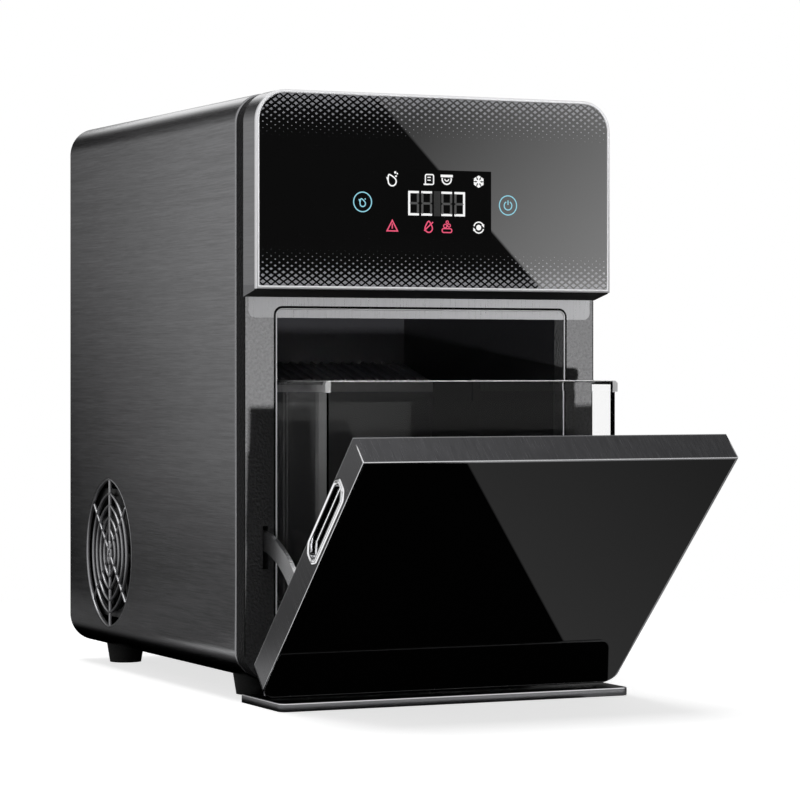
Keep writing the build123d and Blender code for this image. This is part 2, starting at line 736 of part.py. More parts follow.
with BuildPart() as display_board:
    board_rear = -HEADER_WALL
    board_front = BEZEL_DEPTH - HEADER_DEPTH
    board_y = (board_rear - DISPLAY_POST_LENGTH - BOARD_THICKNESS, board_rear - DISPLAY_POST_LENGTH)
    span(
        (-DISPLAY_BOARD_WIDTH / 2, DISPLAY_BOARD_WIDTH / 2),
        board_y,
        (DISPLAY_Z - DISPLAY_BOARD_HEIGHT / 2, DISPLAY_Z + DISPLAY_BOARD_HEIGHT / 2),
    )
    span(
        (DISPLAY_X - DISPLAY_WIDTH / 2, DISPLAY_X + DISPLAY_WIDTH / 2),
        (board_front, board_y[0]),
        (DISPLAY_Z - DISPLAY_HEIGHT / 2, DISPLAY_Z + DISPLAY_HEIGHT / 2),
    )
    for touch_x in (-TOUCH_X, TOUCH_X):
        rod_y(touch_x, (board_front, board_y[0]), DISPLAY_Z, TOUCH_RADIUS)
    post_half_x = DISPLAY_BOARD_WIDTH / 2 - DISPLAY_POST_MARGIN
    post_half_z = DISPLAY_BOARD_HEIGHT / 2 - DISPLAY_POST_MARGIN
    for post_x in (-post_half_x, post_half_x):
        for post_z in (DISPLAY_Z - post_half_z, DISPLAY_Z + post_half_z):
            rod_y(post_x, (board_y[1], board_rear), post_z, POST_RADIUS)
save(display_board.part, "display_board")

# ---------------------------------------------------------------- base, pan and feet
with BuildPart() as base_plate:
    with BuildSketch():
        spanned((-PLATE_WIDTH / 2, -PLATE_FRONT), (PLATE_WIDTH / 2, PLATE_REAR))
    extrude(amount=PLATE_THICKNESS)
    fillet(base_plate.edges().filter_by(Axis.Z).group_by(Axis.Y)[0], PLATE_CORNER)
    tongue = (-PLATE_TONGUE_WIDTH / 2, PLATE_TONGUE_WIDTH / 2)
    span(tongue, (PLATE_TONGUE_RISER_Y, PLATE_REAR), (PLATE_THICKNESS, FRAME_BOTTOM))
    span(
        tongue,
        (PLATE_TONGUE_RISER_Y, PLATE_TONGUE_REAR),
        (CABINET_BOTTOM - PLATE_TONGUE_THICKNESS, CABINET_BOTTOM),
    )
save(base_plate.part, "base_plate")

with BuildPart() as feet:
    for foot_x in (-FOOT_X, FOOT_X):
        for foot_y in (FOOT_FRONT_Y, FOOT_REAR_Y):
            with Locations((foot_x, foot_y, 0)):
                Cone(
                    FOOT_RADIUS - FOOT_TAPER,
                    FOOT_RADIUS,
                    CABINET_BOTTOM,
                    align=(Align.CENTER, Align.CENTER, Align.MIN),
                )
            rod_z(foot_x, foot_y, (0, FOOT_SCREW_DEPTH), FOOT_SCREW_RADIUS, mode=Mode.SUBTRACT)
save(feet.part, "feet")

with BuildPart() as base_pan:
    span((-PAN_HALF_WIDTH, PAN_HALF_WIDTH), (PAN_FRONT, REAR_PANEL_BACK), (FLOOR_Z, PAN_TOP))
save(base_pan.part, "base_pan")

# ---------------------------------------------------------------- liner
def chamber_profile():
    """Side view of the liner: the bin space in front and the ice chamber on top of it."""
    with BuildSketch() as profile:
        with BuildLine():
            Polyline(
                (FRAME_DEPTH, LINER_FLOOR_BOTTOM),
                (BULKHEAD_Y, LINER_FLOOR_BOTTOM),
                (BULKHEAD_Y, BULKHEAD_TOP),
                (CHAMBER_REAR + LINER_WALL, BULKHEAD_TOP),
                (CHAMBER_REAR + LINER_WALL, CHAMBER_TOP + LINER_WALL),
                (FRAME_DEPTH, CHAMBER_TOP + LINER_WALL),
                close=True,
            )
        make_face()
    return profile.sketch


for side, side_name in SIDES:
    with BuildPart() as liner_wall:
        with BuildSketch(facing_right(side * LINER_OUTER)):
            add(chamber_profile())
        extrude(amount=-side * LINER_WALL)
        rod_x(
            across(side, OPENING_HALF_WIDTH, LINER_OUTER),
            TRAY_PIVOT_Y,
            TRAY_PIVOT_Z,
            TRAY_SHAFT_RADIUS + SHAFT_CLEARANCE,
            mode=Mode.SUBTRACT,
        )
    save(liner_wall.part, "liner_wall_" + side_name)

with BuildPart() as liner_floor:
    span(
        (-OPENING_HALF_WIDTH, OPENING_HALF_WIDTH),
        (FRAME_DEPTH, BULKHEAD_Y),
        (LINER_FLOOR_BOTTOM, LINER_FLOOR_TOP),
    )
    for rail_x in (-RAIL_X, RAIL_X):
        span(
            (rail_x - RAIL_WIDTH / 2, rail_x + RAIL_WIDTH / 2),
            (FRAME_DEPTH, BULKHEAD_Y),
            (LINER_FLOOR_TOP, LINER_FLOOR_TOP + RAIL_HEIGHT),
        )
    with BuildSketch(Plane.XY.offset(LINER_FLOOR_TOP)):
        with Locations((0, (FRAME_DEPTH + BULKHEAD_Y) / 2)):
            with GridLocations(DRAIN_SLOT_PITCH_X, DRAIN_SLOT_PITCH_Y, DRAIN_SLOT_COLUMNS, DRAIN_SLOT_ROWS):
                SlotOverall(DRAIN_SLOT_LENGTH, DRAIN_SLOT_WIDTH)
    extrude(amount=-LINER_FLOOR_THICKNESS, mode=Mode.SUBTRACT)
save(liner_floor.part, "liner_floor")

with BuildPart() as bulkhead:
    span(
        (-OPENING_HALF_WIDTH, OPENING_HALF_WIDTH),
        (BULKHEAD_Y, BULKHEAD_Y + LINER_WALL),
        (PAN_TOP, BULKHEAD_TOP),
    )
    rod_y(
        PUMP_X,
        (BULKHEAD_Y, BULKHEAD_Y + LINER_WALL),
        PUMP_INLET_Z,
        PUMP_INLET_RADIUS,
        mode=Mode.SUBTRACT,
    )
save(bulkhead.part, "bulkhead")

with BuildPart() as ice_ramp:
    ramp_rise = (RAMP_REAR_TOP - RAMP_LIP_TOP) / (CHAMBER_REAR - RAMP_LIP_Y)
    with BuildSketch(facing_right(-OPENING_HALF_WIDTH)):
        with BuildLine():
            Polyline(
                (RAMP_LIP_Y, BULKHEAD_TOP),
                (BULKHEAD_Y + LINER_WALL, BULKHEAD_TOP),
                (CHAMBER_REAR, RAMP_REAR_TOP - RAMP_THICKNESS),
                (CHAMBER_REAR, RAMP_REAR_TOP),
                (RAMP_LIP_Y, RAMP_LIP_TOP),
                close=True,
            )
        make_face()
    extrude(amount=2 * OPENING_HALF_WIDTH)
    rib_count = int(2 * (OPENING_HALF_WIDTH - RIB_WIDTH) / RIB_PITCH)
    rib_start = RAMP_LIP_Y + RIB_START
    rib_start_top = RAMP_LIP_TOP + ramp_rise * RIB_START
    rib_nose_top = rib_start_top + ramp_rise * RIB_NOSE + RIB_HEIGHT
    for rib in range(rib_count):
        rib_x = (rib - (rib_count - 1) / 2) * RIB_PITCH
        with BuildSketch(facing_right(rib_x - RIB_WIDTH / 2)):
            with BuildLine():
                Polyline(
                    (rib_start, rib_start_top - RIB_SINK),
                    (CHAMBER_REAR, RAMP_REAR_TOP - RIB_SINK),
                    (CHAMBER_REAR, RAMP_REAR_TOP + RIB_HEIGHT),
                    (rib_start + RIB_NOSE, rib_nose_top),
                    close=True,
                )
            make_face()
        extrude(amount=RIB_WIDTH)
save(ice_ramp.part, "ice_ramp")

with BuildPart() as chamber_rear:
    chamber_rear_y = (CHAMBER_REAR, CHAMBER_REAR + LINER_WALL)
    span(
        (-OPENING_HALF_WIDTH, OPENING_HALF_WIDTH),
        chamber_rear_y,
        (RAMP_REAR_TOP - RAMP_THICKNESS, CHAMBER_TOP),
    )
    rod_y(PUMP_X, chamber_rear_y, HOSE_Z, HOSE_RADIUS + PIPE_HOLE_GAP, mode=Mode.SUBTRACT)
    rod_y(SUCTION_X, chamber_rear_y, COIL_Z, PIPE_RADIUS + PIPE_HOLE_GAP, mode=Mode.SUBTRACT)
    rod_y(CAPILLARY_X, chamber_rear_y, COIL_Z, CAPILLARY_RADIUS + PIPE_HOLE_GAP, mode=Mode.SUBTRACT)
save(chamber_rear.part, "chamber_rear")

with BuildPart() as chamber_top:
    span(
        (-OPENING_HALF_WIDTH, OPENING_HALF_WIDTH),
        (FRAME_DEPTH, CHAMBER_REAR + LINER_WALL),
        (CHAMBER_TOP, CHAMBER_TOP + LINER_WALL),
    )
save(chamber_top.part, "chamber_top")

# ---------------------------------------------------------------- moulds and their drive
def ball_cells():
    """Centres of the ball cells on the moulds' parting plane."""
    return GridLocations(BALL_PITCH, BALL_PITCH, BALL_COLUMNS, BALL_ROWS)


with BuildPart() as upper_mould:
    upper_bottom = MOULD_SPLIT_Z + MOULD_SPLIT_GAP / 2
    span(
        (-MOULD_HALF_X, MOULD_HALF_X),
        (MOULD_CENTRE_Y - MOULD_HALF_Y, MOULD_CENTRE_Y + MOULD_HALF_Y),
        (upper_bottom, UPPER_MOULD_TOP),
    )
    fillet(upper_mould.edges().filter_by(Axis.Z), MOULD_MARGIN / 2)
    with Locations((0, MOULD_CENTRE_Y, MOULD_SPLIT_Z)):
        with ball_cells():
            Sphere(BALL_RADIUS, mode=Mode.SUBTRACT)
    with Locations((0, MOULD_CENTRE_Y, UPPER_MOULD_TOP - UPPER_MOULD_HEIGHT / 2)):
        with ball_cells():
            Cylinder(FILL_HOLE_RADIUS, UPPER_MOULD_HEIGHT, mode=Mode.SUBTRACT)
    for side, _ in SIDES:
        hanger_x = across(side, MOULD_HALF_X - HANGER_OVERLAP, OPENING_HALF_WIDTH)
        hanger_y = (MOULD_CENTRE_Y - HANGER_WIDTH / 2, MOULD_CENTRE_Y + HANGER_WIDTH / 2)
        span(hanger_x, hanger_y, (UPPER_MOULD_TOP - HANGER_THICKNESS, UPPER_MOULD_TOP))
save(upper_mould.part, "upper_mould")

with BuildPart() as lower_mould:
    span(
        (-MOULD_HALF_X, MOULD_HALF_X),
        (MOULD_CENTRE_Y - MOULD_HALF_Y, MOULD_CENTRE_Y + MOULD_HALF_Y),
        (TRAY_TOP - LOWER_MOULD_HEIGHT, TRAY_TOP),
    )
    fillet(lower_mould.edges().filter_by(Axis.Z), MOULD_MARGIN / 2)
    for side, _ in SIDES:
        with BuildSketch(facing_right(side * MOULD_HALF_X)):
            with BuildLine():
                Polyline(
                    (TRAY_PIVOT_Y - TRAY_EAR_MARGIN, TRAY_PIVOT_Z - TRAY_EAR_MARGIN),
                    (MOULD_CENTRE_Y, TRAY_TOP - LOWER_MOULD_HEIGHT),
                    (MOULD_CENTRE_Y, TRAY_TOP - TRAY_EAR_DROP),
                    (TRAY_PIVOT_Y - TRAY_EAR_MARGIN, TRAY_PIVOT_Z + TRAY_EAR_TOP),
                    close=True,
                )
            make_face()
        extrude(amount=side * TRAY_EAR_THICKNESS)
        shaft_end = GEAR_X + GEAR_THICKNESS if side > 0 else LINER_OUTER
        rod_x(across(side, MOULD_HALF_X, shaft_end), TRAY_PIVOT_Y, TRAY_PIVOT_Z, TRAY_SHAFT_RADIUS)
    with Locations((0, MOULD_CENTRE_Y, MOULD_SPLIT_Z)):
        with ball_cells():
            Sphere(BALL_RADIUS, mode=Mode.SUBTRACT)
save(lower_mould.part, "lower_mould")


def gear_face(teeth, turn):
    """Sketch of a spur gear: involute flanks, thinned by the backlash, turned by degrees."""
    pitch_radius = GEAR_MODULE * teeth / 2
    pressure = math.radians(PRESSURE_ANGLE)
    base_radius = pitch_radius * math.cos(pressure)
    tip_radius = pitch_radius + TOOTH_TIP * GEAR_MODULE
    root_radius = pitch_radius - TOOTH_ROOT * GEAR_MODULE
    involute = math.tan(pressure) - pressure
    half_tooth = math.pi / (2 * teeth) - GEAR_BACKLASH / (2 * pitch_radius)
    flank = []
    for step in range(FLANK_STEPS + 1):
        radius = base_radius + (tip_radius - base_radius) * step / FLANK_STEPS
        roll = math.acos(base_radius / radius)
        flank.append((radius, half_tooth + involute - (math.tan(roll) - roll)))
    with BuildSketch() as face:
        Circle(root_radius)
        for tooth in range(teeth):
            middle = math.radians(turn) + 2 * math.pi * tooth / teeth
            sides = [(root_radius - TOOTH_SINK, flank[0][1])] + flank
            points = [
                (radius * math.cos(middle + turned), radius * math.sin(middle + turned))
                for radius, turned in [(r, -a) for r, a in sides] + sides[::-1]
            ]
            with BuildLine(mode=Mode.PRIVATE) as outline:
                Polyline(*points, close=True)
            add(make_face(outline.edges(), mode=Mode.PRIVATE))
    return face.sketch


with BuildPart() as tray_gear:
    with BuildSketch(facing_right(GEAR_X)):
        with Locations((TRAY_PIVOT_Y, TRAY_PIVOT_Z)):
            add(gear_face(GEAR_TEETH, 0))
            Circle(TRAY_SHAFT_RADIUS, mode=Mode.SUBTRACT)
    extrude(amount=GEAR_THICKNESS)
save(tray_gear.part, "tray_gear")

with BuildPart() as motor_pinion:
    with BuildSketch(facing_right(GEAR_X)):
        with Locations((TRAY_PIVOT_Y, PINION_Z)):
            add(gear_face(PINION_TEETH, 180 / PINION_TEETH))
    extrude(amount=GEAR_THICKNESS)
    rod_x(
        (GEAR_X + GEAR_THICKNESS, MOTOR_FACE + MOTOR_DEPTH / 2),
        TRAY_PIVOT_Y,
        PINION_Z,
        MOTOR_SHAFT_RADIUS,
    )
save(motor_pinion.part, "motor_pinion")

with BuildPart() as gear_motor:
    with BuildSketch(facing_right(MOTOR_FACE)):
        with Locations((TRAY_PIVOT_Y, PINION_Z + MOTOR_POST_RISE)):
            SlotOverall(2 * MOTOR_POST_SPREAD + MOTOR_LUG_WIDTH, MOTOR_LUG_WIDTH)
        with Locations((TRAY_PIVOT_Y, PINION_Z)):
            Circle(MOTOR_RADIUS)
    extrude(amount=MOTOR_FLANGE)
    rod_x((MOTOR_FACE, MOTOR_FACE + MOTOR_DEPTH), TRAY_PIVOT_Y, PINION_Z, MOTOR_RADIUS)
    post_z = PINION_Z + MOTOR_POST_RISE
    for post in (-MOTOR_POST_SPREAD, MOTOR_POST_SPREAD):
        rod_x((LINER_OUTER, MOTOR_FACE), TRAY_PIVOT_Y + post, post_z, MOTOR_POST_RADIUS)
    rod_x(
        (MOTOR_FACE, MOTOR_FACE + MOTOR_BORE_END + MOTOR_DEPTH / 2),
        TRAY_PIVOT_Y,
        PINION_Z,
        MOTOR_SHAFT_RADIUS + SHAFT_CLEARANCE,
        mode=Mode.SUBTRACT,
    )
save(gear_motor.part, "gear_motor")

# ---------------------------------------------------------------- evaporator and water
coil_rows = [MOULD_CENTRE_Y + row * BALL_PITCH for row in (-1, 0, 1)]
with BuildPart() as evaporator_coil:
    with BuildLine() as coil_route:
        coil_x = COIL_HALF_LENGTH
        Line((-coil_x, coil_rows[0], COIL_Z), (coil_x, coil_rows[0], COIL_Z))
        ThreePointArc(
            (coil_x, coil_rows[0], COIL_Z),
            (coil_x + BALL_PITCH / 2, MOULD_CENTRE_Y - BALL_PITCH / 2, COIL_Z),
            (coil_x, coil_rows[1], COIL_Z),
        )
        Line((coil_x, coil_rows[1], COIL_Z), (-coil_x, coil_rows[1], COIL_Z))
        ThreePointArc(
            (-coil_x, coil_rows[1], COIL_Z),
            (-coil_x - BALL_PITCH / 2, MOULD_CENTRE_Y + BALL_PITCH / 2, COIL_Z),
            (-coil_x, coil_rows[2], COIL_Z),
        )
        Line((-coil_x, coil_rows[2], COIL_Z), (coil_x, coil_rows[2], COIL_Z))
    with BuildSketch(Plane(origin=(-coil_x, coil_rows[0], COIL_Z), z_dir=(1, 0, 0))):
        Circle(COIL_TUBE_RADIUS)
    sweep(path=coil_route.wire())
save(evaporator_coil.part, "evaporator_coil")

with BuildPart() as water_manifold:
    manifold_half_x = BALL_PITCH * (BALL_COLUMNS - 1) / 2 + MANIFOLD_MARGIN
    manifold_half_y = BALL_PITCH * (BALL_ROWS - 1) / 2 + MANIFOLD_MARGIN
    span(
        (-manifold_half_x, manifold_half_x),
        (MOULD_CENTRE_Y - manifold_half_y, MOULD_CENTRE_Y + manifold_half_y),
        (MANIFOLD_Z, MANIFOLD_Z + MANIFOLD_HEIGHT),
    )
    with Locations((0, MOULD_CENTRE_Y, UPPER_MOULD_TOP + MANIFOLD_LIFT / 2)):
        with ball_cells():
            Cylinder(NOZZLE_RADIUS, MANIFOLD_LIFT)
            Cylinder(FILL_HOLE_RADIUS, MANIFOLD_LIFT, mode=Mode.SUBTRACT)
save(water_manifold.part, "water_manifold")

with BuildPart() as water_tank:
    tank_x = OPENING_HALF_WIDTH - TANK_MARGIN
    tank_y = (TANK_FRONT, BULKHEAD_Y - TANK_BULKHEAD_GAP)
    tank_z = (PAN_TOP, PAN_TOP + TANK_HEIGHT)
    span((-tank_x, tank_x), tank_y, tank_z)
    span(
        (TANK_WALL - tank_x, tank_x - TANK_WALL),
        (tank_y[0] + TANK_WALL, tank_y[1] - TANK_WALL),
        (tank_z[0] + TANK_WALL, tank_z[1]),
        mode=Mode.SUBTRACT,
    )
    rod_y(PUMP_X, (tank_y[1] - TANK_WALL, tank_y[1]), PUMP_INLET_Z, PUMP_INLET_RADIUS, mode=Mode.SUBTRACT)
save(water_tank.part, "water_tank")

with BuildPart() as water_pump:
    rod_z(PUMP_X, PUMP_Y, (PAN_TOP, PAN_TOP + PUMP_HEIGHT), PUMP_RADIUS)
    rod_y(PUMP_X, (tank_y[1] - TANK_WALL, PUMP_Y), PUMP_INLET_Z, PUMP_INLET_RADIUS)
    pump_top = PAN_TOP + PUMP_HEIGHT
    rod_z(PUMP_X, PUMP_Y, (pump_top, pump_top + PUMP_SPOUT), HOSE_RADIUS)
save(water_pump.part, "water_pump")

hose = pipe(
    [
        (PUMP_X, PUMP_Y, pump_top + PUMP_SPOUT),
        (PUMP_X, PUMP_Y, pump_top + HOSE_FIRST_RISE),
        (PUMP_X, TUBE_RUN_Y, pump_top + HOSE_SECOND_RISE),
        (PUMP_X, TUBE_RUN_Y, HOSE_Z),
        (PUMP_X, MOULD_CENTRE_Y + manifold_half_y, HOSE_Z),
    ],
    HOSE_BEND,
    HOSE_RADIUS,
)
save(hose, "water_hose")

# ---------------------------------------------------------------- refrigeration
with BuildPart() as compressor:
    can_bottom = PAN_TOP + COMPRESSOR_LEG
    rod_z(COMPRESSOR_X, COMPRESSOR_Y, (can_bottom, COMPRESSOR_TOP), COMPRESSOR_RADIUS)
    fillet(compressor.edges().filter_by(GeomType.CIRCLE).group_by(Axis.Z)[-1], COMPRESSOR_DOME)
    fillet(compressor.edges().filter_by(GeomType.CIRCLE).group_by(Axis.Z)[0], COMPRESSOR_BASE_EDGE)
    leg_z = (PAN_TOP, can_bottom + COMPRESSOR_LEG_RISE)
    for leg_x in (-COMPRESSOR_LEG_SPREAD, COMPRESSOR_LEG_SPREAD):
        for leg_y in (-COMPRESSOR_LEG_SPREAD, COMPRESSOR_LEG_SPREAD):
            rod_z(COMPRESSOR_X + leg_x, COMPRESSOR_Y + leg_y, leg_z, COMPRESSOR_LEG_RADIUS)
save(compressor.part, "compressor")

with BuildPart() as condenser:
    condenser_x = (CONDENSER_X - CONDENSER_WIDTH / 2, CONDENSER_X + CONDENSER_WIDTH / 2)
    condenser_y = (VENT_Y - CONDENSER_LENGTH / 2, VENT_Y + CONDENSER_LENGTH / 2)
    span(condenser_x, condenser_y, (PAN_TOP, CONDENSER_TOP))
    fin_pitch = CONDENSER_HEIGHT / CONDENSER_FINS
    half_gap = fin_pitch * CONDENSER_GAP_SHARE / 2
    for gap in range(CONDENSER_FINS - 1):
        gap_z = PAN_TOP + fin_pitch * (gap + 1)
        span(
            condenser_x,
            (condenser_y[0] + CONDENSER_END_PLATE, condenser_y[1] - CONDENSER_END_PLATE),
            (gap_z - half_gap, gap_z + half_gap),
            mode=Mode.SUBTRACT,
        )
    for tube_y in (VENT_Y - CONDENSER_TUBE_OFFSET, VENT_Y + CONDENSER_TUBE_OFFSET):
        rod_z(CONDENSER_X, tube_y, (PAN_TOP, CONDENSER_TOP), CONDENSER_TUBE_RADIUS)
save(condenser.part, "condenser")

with BuildPart() as filter_drier:
    drier_z = CONDENSER_TOP + DRIER_LIFT
    rod_z(CONDENSER_X, DRIER_Y, (drier_z, drier_z + DRIER_LENGTH), DRIER_RADIUS)
    fillet(filter_drier.edges().filter_by(GeomType.CIRCLE), DRIER_EDGE)
    rod_z(CONDENSER_X, DRIER_Y, (CONDENSER_TOP, drier_z), PIPE_RADIUS)
save(filter_drier.part, "filter_drier")

with BuildPart() as refrigerant_lines:
    add(
        pipe(
            [
                (COIL_HALF_LENGTH, coil_rows[2], COIL_Z),
                (SUCTION_X, coil_rows[2], COIL_Z),
                (SUCTION_X, TUBE_RUN_Y, COIL_Z),
                (SUCTION_X, TUBE_RUN_Y, COMPRESSOR_TOP + SUCTION_RISE),
                (COMPRESSOR_X, COMPRESSOR_Y, COMPRESSOR_TOP + TUBE_RISE),
                (COMPRESSOR_X, COMPRESSOR_Y, COMPRESSOR_TOP),
            ],
            TUBE_BEND,
            PIPE_RADIUS,
        )
    )
    discharge_x = COMPRESSOR_X - DISCHARGE_OFFSET
    discharge_y = VENT_Y - CONDENSER_TUBE_OFFSET
    add(
        pipe(
            [
                (discharge_x, COMPRESSOR_Y - DISCHARGE_OFFSET, COMPRESSOR_TOP),
                (discharge_x, COMPRESSOR_Y - DISCHARGE_OFFSET, COMPRESSOR_TOP + TUBE_RISE),
                (CONDENSER_X, discharge_y, COMPRESSOR_TOP + TUBE_RISE),
                (CONDENSER_X, discharge_y, CONDENSER_TOP),
            ],
            TUBE_BEND,
            PIPE_RADIUS,
        )
    )
    add(
        pipe(
            [
                (CONDENSER_X, DRIER_Y, drier_z + DRIER_LENGTH),
                (CONDENSER_X, DRIER_Y, COIL_Z - CAPILLARY_DROP),
                (CAPILLARY_X, TUBE_RUN_Y, COIL_Z - CAPILLARY_DROP / 2),
                (CAPILLARY_X, TUBE_RUN_Y, COIL_Z),
                (CAPILLARY_X, coil_rows[0], COIL_Z),
                (-COIL_HALF_LENGTH, coil_rows[0], COIL_Z),
            ],
            CAPILLARY_BEND,
            CAPILLARY_RADIUS,
        )
    )
save(refrigerant_lines.part, "refrigerant_lines")

# ---------------------------------------------------------------- fan
with BuildPart() as fan_shroud:
    shroud_x = (-SHROUD_X, -SHROUD_X + SHROUD_DEPTH)
    shroud_y = (VENT_Y - SHROUD_SIDE / 2, VENT_Y + SHROUD_SIDE / 2)
    shroud_z = (VENT_Z - SHROUD_SIDE / 2, VENT_Z + SHROUD_SIDE / 2)
    strut_x = (shroud_x[1] - SHROUD_WALL, shroud_x[1])
    span(shroud_x, shroud_y, shroud_z)
    span(strut_x, shroud_y, (PAN_TOP, shroud_z[0]))
    span((strut_x[0], strut_x[1] + SHROUD_FOOT), shroud_y, (PAN_TOP, PAN_TOP + SHROUD_WALL))
    rod_x(shroud_x, VENT_Y, VENT_Z, FAN_RADIUS + FAN_TIP_GAP, mode=Mode.SUBTRACT)
    half_strut = FAN_STRUT_WIDTH / 2
    span(strut_x, shroud_y, (VENT_Z - half_strut, VENT_Z + half_strut))
    span(strut_x, (VENT_Y - half_strut, VENT_Y + half_strut), shroud_z)
    rod_x(strut_x, VENT_Y, VENT_Z, FAN_MOTOR_RADIUS)
    shaft_hole = FAN_SHAFT_RADIUS + FAN_SHAFT_HOLE_GAP
    rod_x(strut_x, VENT_Y, VENT_Z, shaft_hole, mode=Mode.SUBTRACT)
save(fan_shroud.part, "fan_shroud")

with BuildPart() as fan_motor:
    fan_motor_x = (shroud_x[1], shroud_x[1] + FAN_MOTOR_DEPTH)
    rod_x(fan_motor_x, VENT_Y, VENT_Z, FAN_MOTOR_RADIUS)
    rod_x(
        (fan_motor_x[0], fan_motor_x[0] + FAN_MOTOR_DEPTH / 2),
        VENT_Y,
        VENT_Z,
        FAN_SHAFT_RADIUS + SHAFT_CLEARANCE,
        mode=Mode.SUBTRACT,
    )
save(fan_motor.part, "fan_motor")

with BuildPart() as fan_blade:
    hub_x = (shroud_x[0] + FAN_HUB_GAP, strut_x[0] - FAN_HUB_STRUT_GAP)
    rod_x(hub_x, VENT_Y, VENT_Z, FAN_HUB_RADIUS)
    shaft_end = fan_motor_x[0] + FAN_MOTOR_DEPTH / 2 - FAN_SHAFT_END_GAP
    rod_x((hub_x[1], shaft_end), VENT_Y, VENT_Z, FAN_SHAFT_RADIUS)
    blade_root = FAN_HUB_RADIUS - FAN_BLADE_SINK
    blade_length = FAN_RADIUS - blade_root
    for blade in range(FAN_BLADES):
        turn = Location((0, VENT_Y, VENT_Z), (360 * blade / FAN_BLADES, 0, 0))
        middle = Location(
            ((hub_x[0] + hub_x[1]) / 2, 0, blade_root + blade_length / 2),
            (0, 0, FAN_PITCH_ANGLE),
        )
        with Locations(turn * middle):
            Box(FAN_BLADE_THICKNESS, FAN_DEPTH, blade_length)
save(fan_blade.part, "fan_blade")

# ---------------------------------------------------------------- rear panel and electrics
with BuildPart() as rear_panel:
    with BuildSketch(facing_front(REAR_PANEL_FACE)):
        with Locations((0, CABINET_MID_Z)):
            RectangleRounded(
                2 * INNER_HALF, CABINET_HEIGHT - 2 * WRAPPER_WALL, CABINET_CORNER - WRAPPER_WALL
            )
        with Locations((INLET_X, INLET_Z)):
            Rectangle(INLET_WIDTH, INLET_HEIGHT, mode=Mode.SUBTRACT)
        with Locations((DRAIN_X, DRAIN_Z)):
            Circle(DRAIN_RADIUS, mode=Mode.SUBTRACT)
        with Locations((0, LOUVRE_Z)):
            with GridLocations(LOUVRE_PITCH_X, LOUVRE_PITCH_Z, LOUVRE_COLUMNS, LOUVRE_ROWS):
                SlotOverall(LOUVRE_LENGTH, LOUVRE_WIDTH, rotation=90, mode=Mode.SUBTRACT)
    extrude(amount=REAR_PANEL_THICKNESS)
save(rear_panel.part, "rear_panel")

with BuildPart() as rear_screws:
    screw_column = INNER_HALF - REAR_SCREW_FROM_SIDE
    screw_rows = (CABINET_BOTTOM + REAR_SCREW_FROM_END, CABINET_MID_Z, CABINET_TOP - REAR_SCREW_FROM_END)
    for screw_x in (-screw_column, screw_column):
        for screw_z in screw_rows:
            rod_y(
                screw_x,
                (REAR_PANEL_FACE, REAR_PANEL_FACE + SCREW_HEAD_HEIGHT),
                screw_z,
                SCREW_HEAD_RADIUS,
            )
save(rear_screws.part, "rear_screws")

with BuildPart() as main_board:
    board_y = (REAR_PANEL_BACK - BOARD_STANDOFF - BOARD_THICKNESS, REAR_PANEL_BACK - BOARD_STANDOFF)
    span(
        (-BOARD_WIDTH / 2, BOARD_WIDTH / 2),
        board_y,
        (BOARD_Z - BOARD_HEIGHT / 2, BOARD_Z + BOARD_HEIGHT / 2),
    )
    post_half_x = BOARD_WIDTH / 2 - BOARD_POST_MARGIN
    post_half_z = BOARD_HEIGHT / 2 - BOARD_POST_MARGIN
    for post_x in (-post_half_x, post_half_x):
        for post_z in (BOARD_Z - post_half_z, BOARD_Z + post_half_z):
            rod_y(post_x, (board_y[1], REAR_PANEL_BACK), post_z, POST_RADIUS)
    transformer_y = (board_y[0] - TRANSFORMER_DEPTH, board_y[0])
    span(TRANSFORMER_X, transformer_y, (BOARD_Z - TRANSFORMER_DROP, BOARD_Z))
    relay_z = (BOARD_Z + RELAY_RISE[0], BOARD_Z + RELAY_RISE[1])
    span(RELAY_X, (board_y[0] - RELAY_DEPTH, board_y[0]), relay_z)
    capacitor_y = (board_y[0] - CAPACITOR_DEPTH, board_y[0])
    rod_y(CAPACITOR_X, capacitor_y, BOARD_Z - CAPACITOR_DROP, CAPACITOR_RADIUS)
save(main_board.part, "main_board")

with BuildPart() as power_inlet:
    half_inlet = INLET_WIDTH / 2
    half_inlet_z = INLET_HEIGHT / 2
    socket_floor = REAR_PANEL_BACK - INLET_DEPTH + INLET_WALL
    flange_y = (REAR_PANEL_FACE, REAR_PANEL_FACE + INLET_FLANGE_THICKNESS)
    flange_half_x = half_inlet + INLET_FLANGE
    flange_half_z = half_inlet_z + INLET_FLANGE_MARGIN
    span(
        (INLET_X - half_inlet, INLET_X + half_inlet),
        (REAR_PANEL_BACK - INLET_DEPTH, REAR_PANEL_FACE),
        (INLET_Z - half_inlet_z, INLET_Z + half_inlet_z),
    )
    span(
        (INLET_X - flange_half_x, INLET_X + flange_half_x),
        flange_y,
        (INLET_Z - flange_half_z, INLET_Z + flange_half_z),
    )
    span(
        (INLET_X - half_inlet + INLET_WALL, INLET_X + half_inlet - INLET_WALL),
        (socket_floor, flange_y[1]),
        (INLET_Z - half_inlet_z + INLET_WALL, INLET_Z + half_inlet_z - INLET_WALL),
        mode=Mode.SUBTRACT,
    )
    for blade_x, blade_z in INLET_BLADES:
        span(
            (INLET_X + blade_x - INLET_BLADE_WIDTH / 2, INLET_X + blade_x + INLET_BLADE_WIDTH / 2),
            (socket_floor - INLET_BLADE_SINK, REAR_PANEL_FACE - INLET_BLADE_RECESS),
            (INLET_Z + blade_z - INLET_BLADE_HEIGHT / 2, INLET_Z + blade_z + INLET_BLADE_HEIGHT / 2),
        )
save(power_inlet.part, "power_inlet")

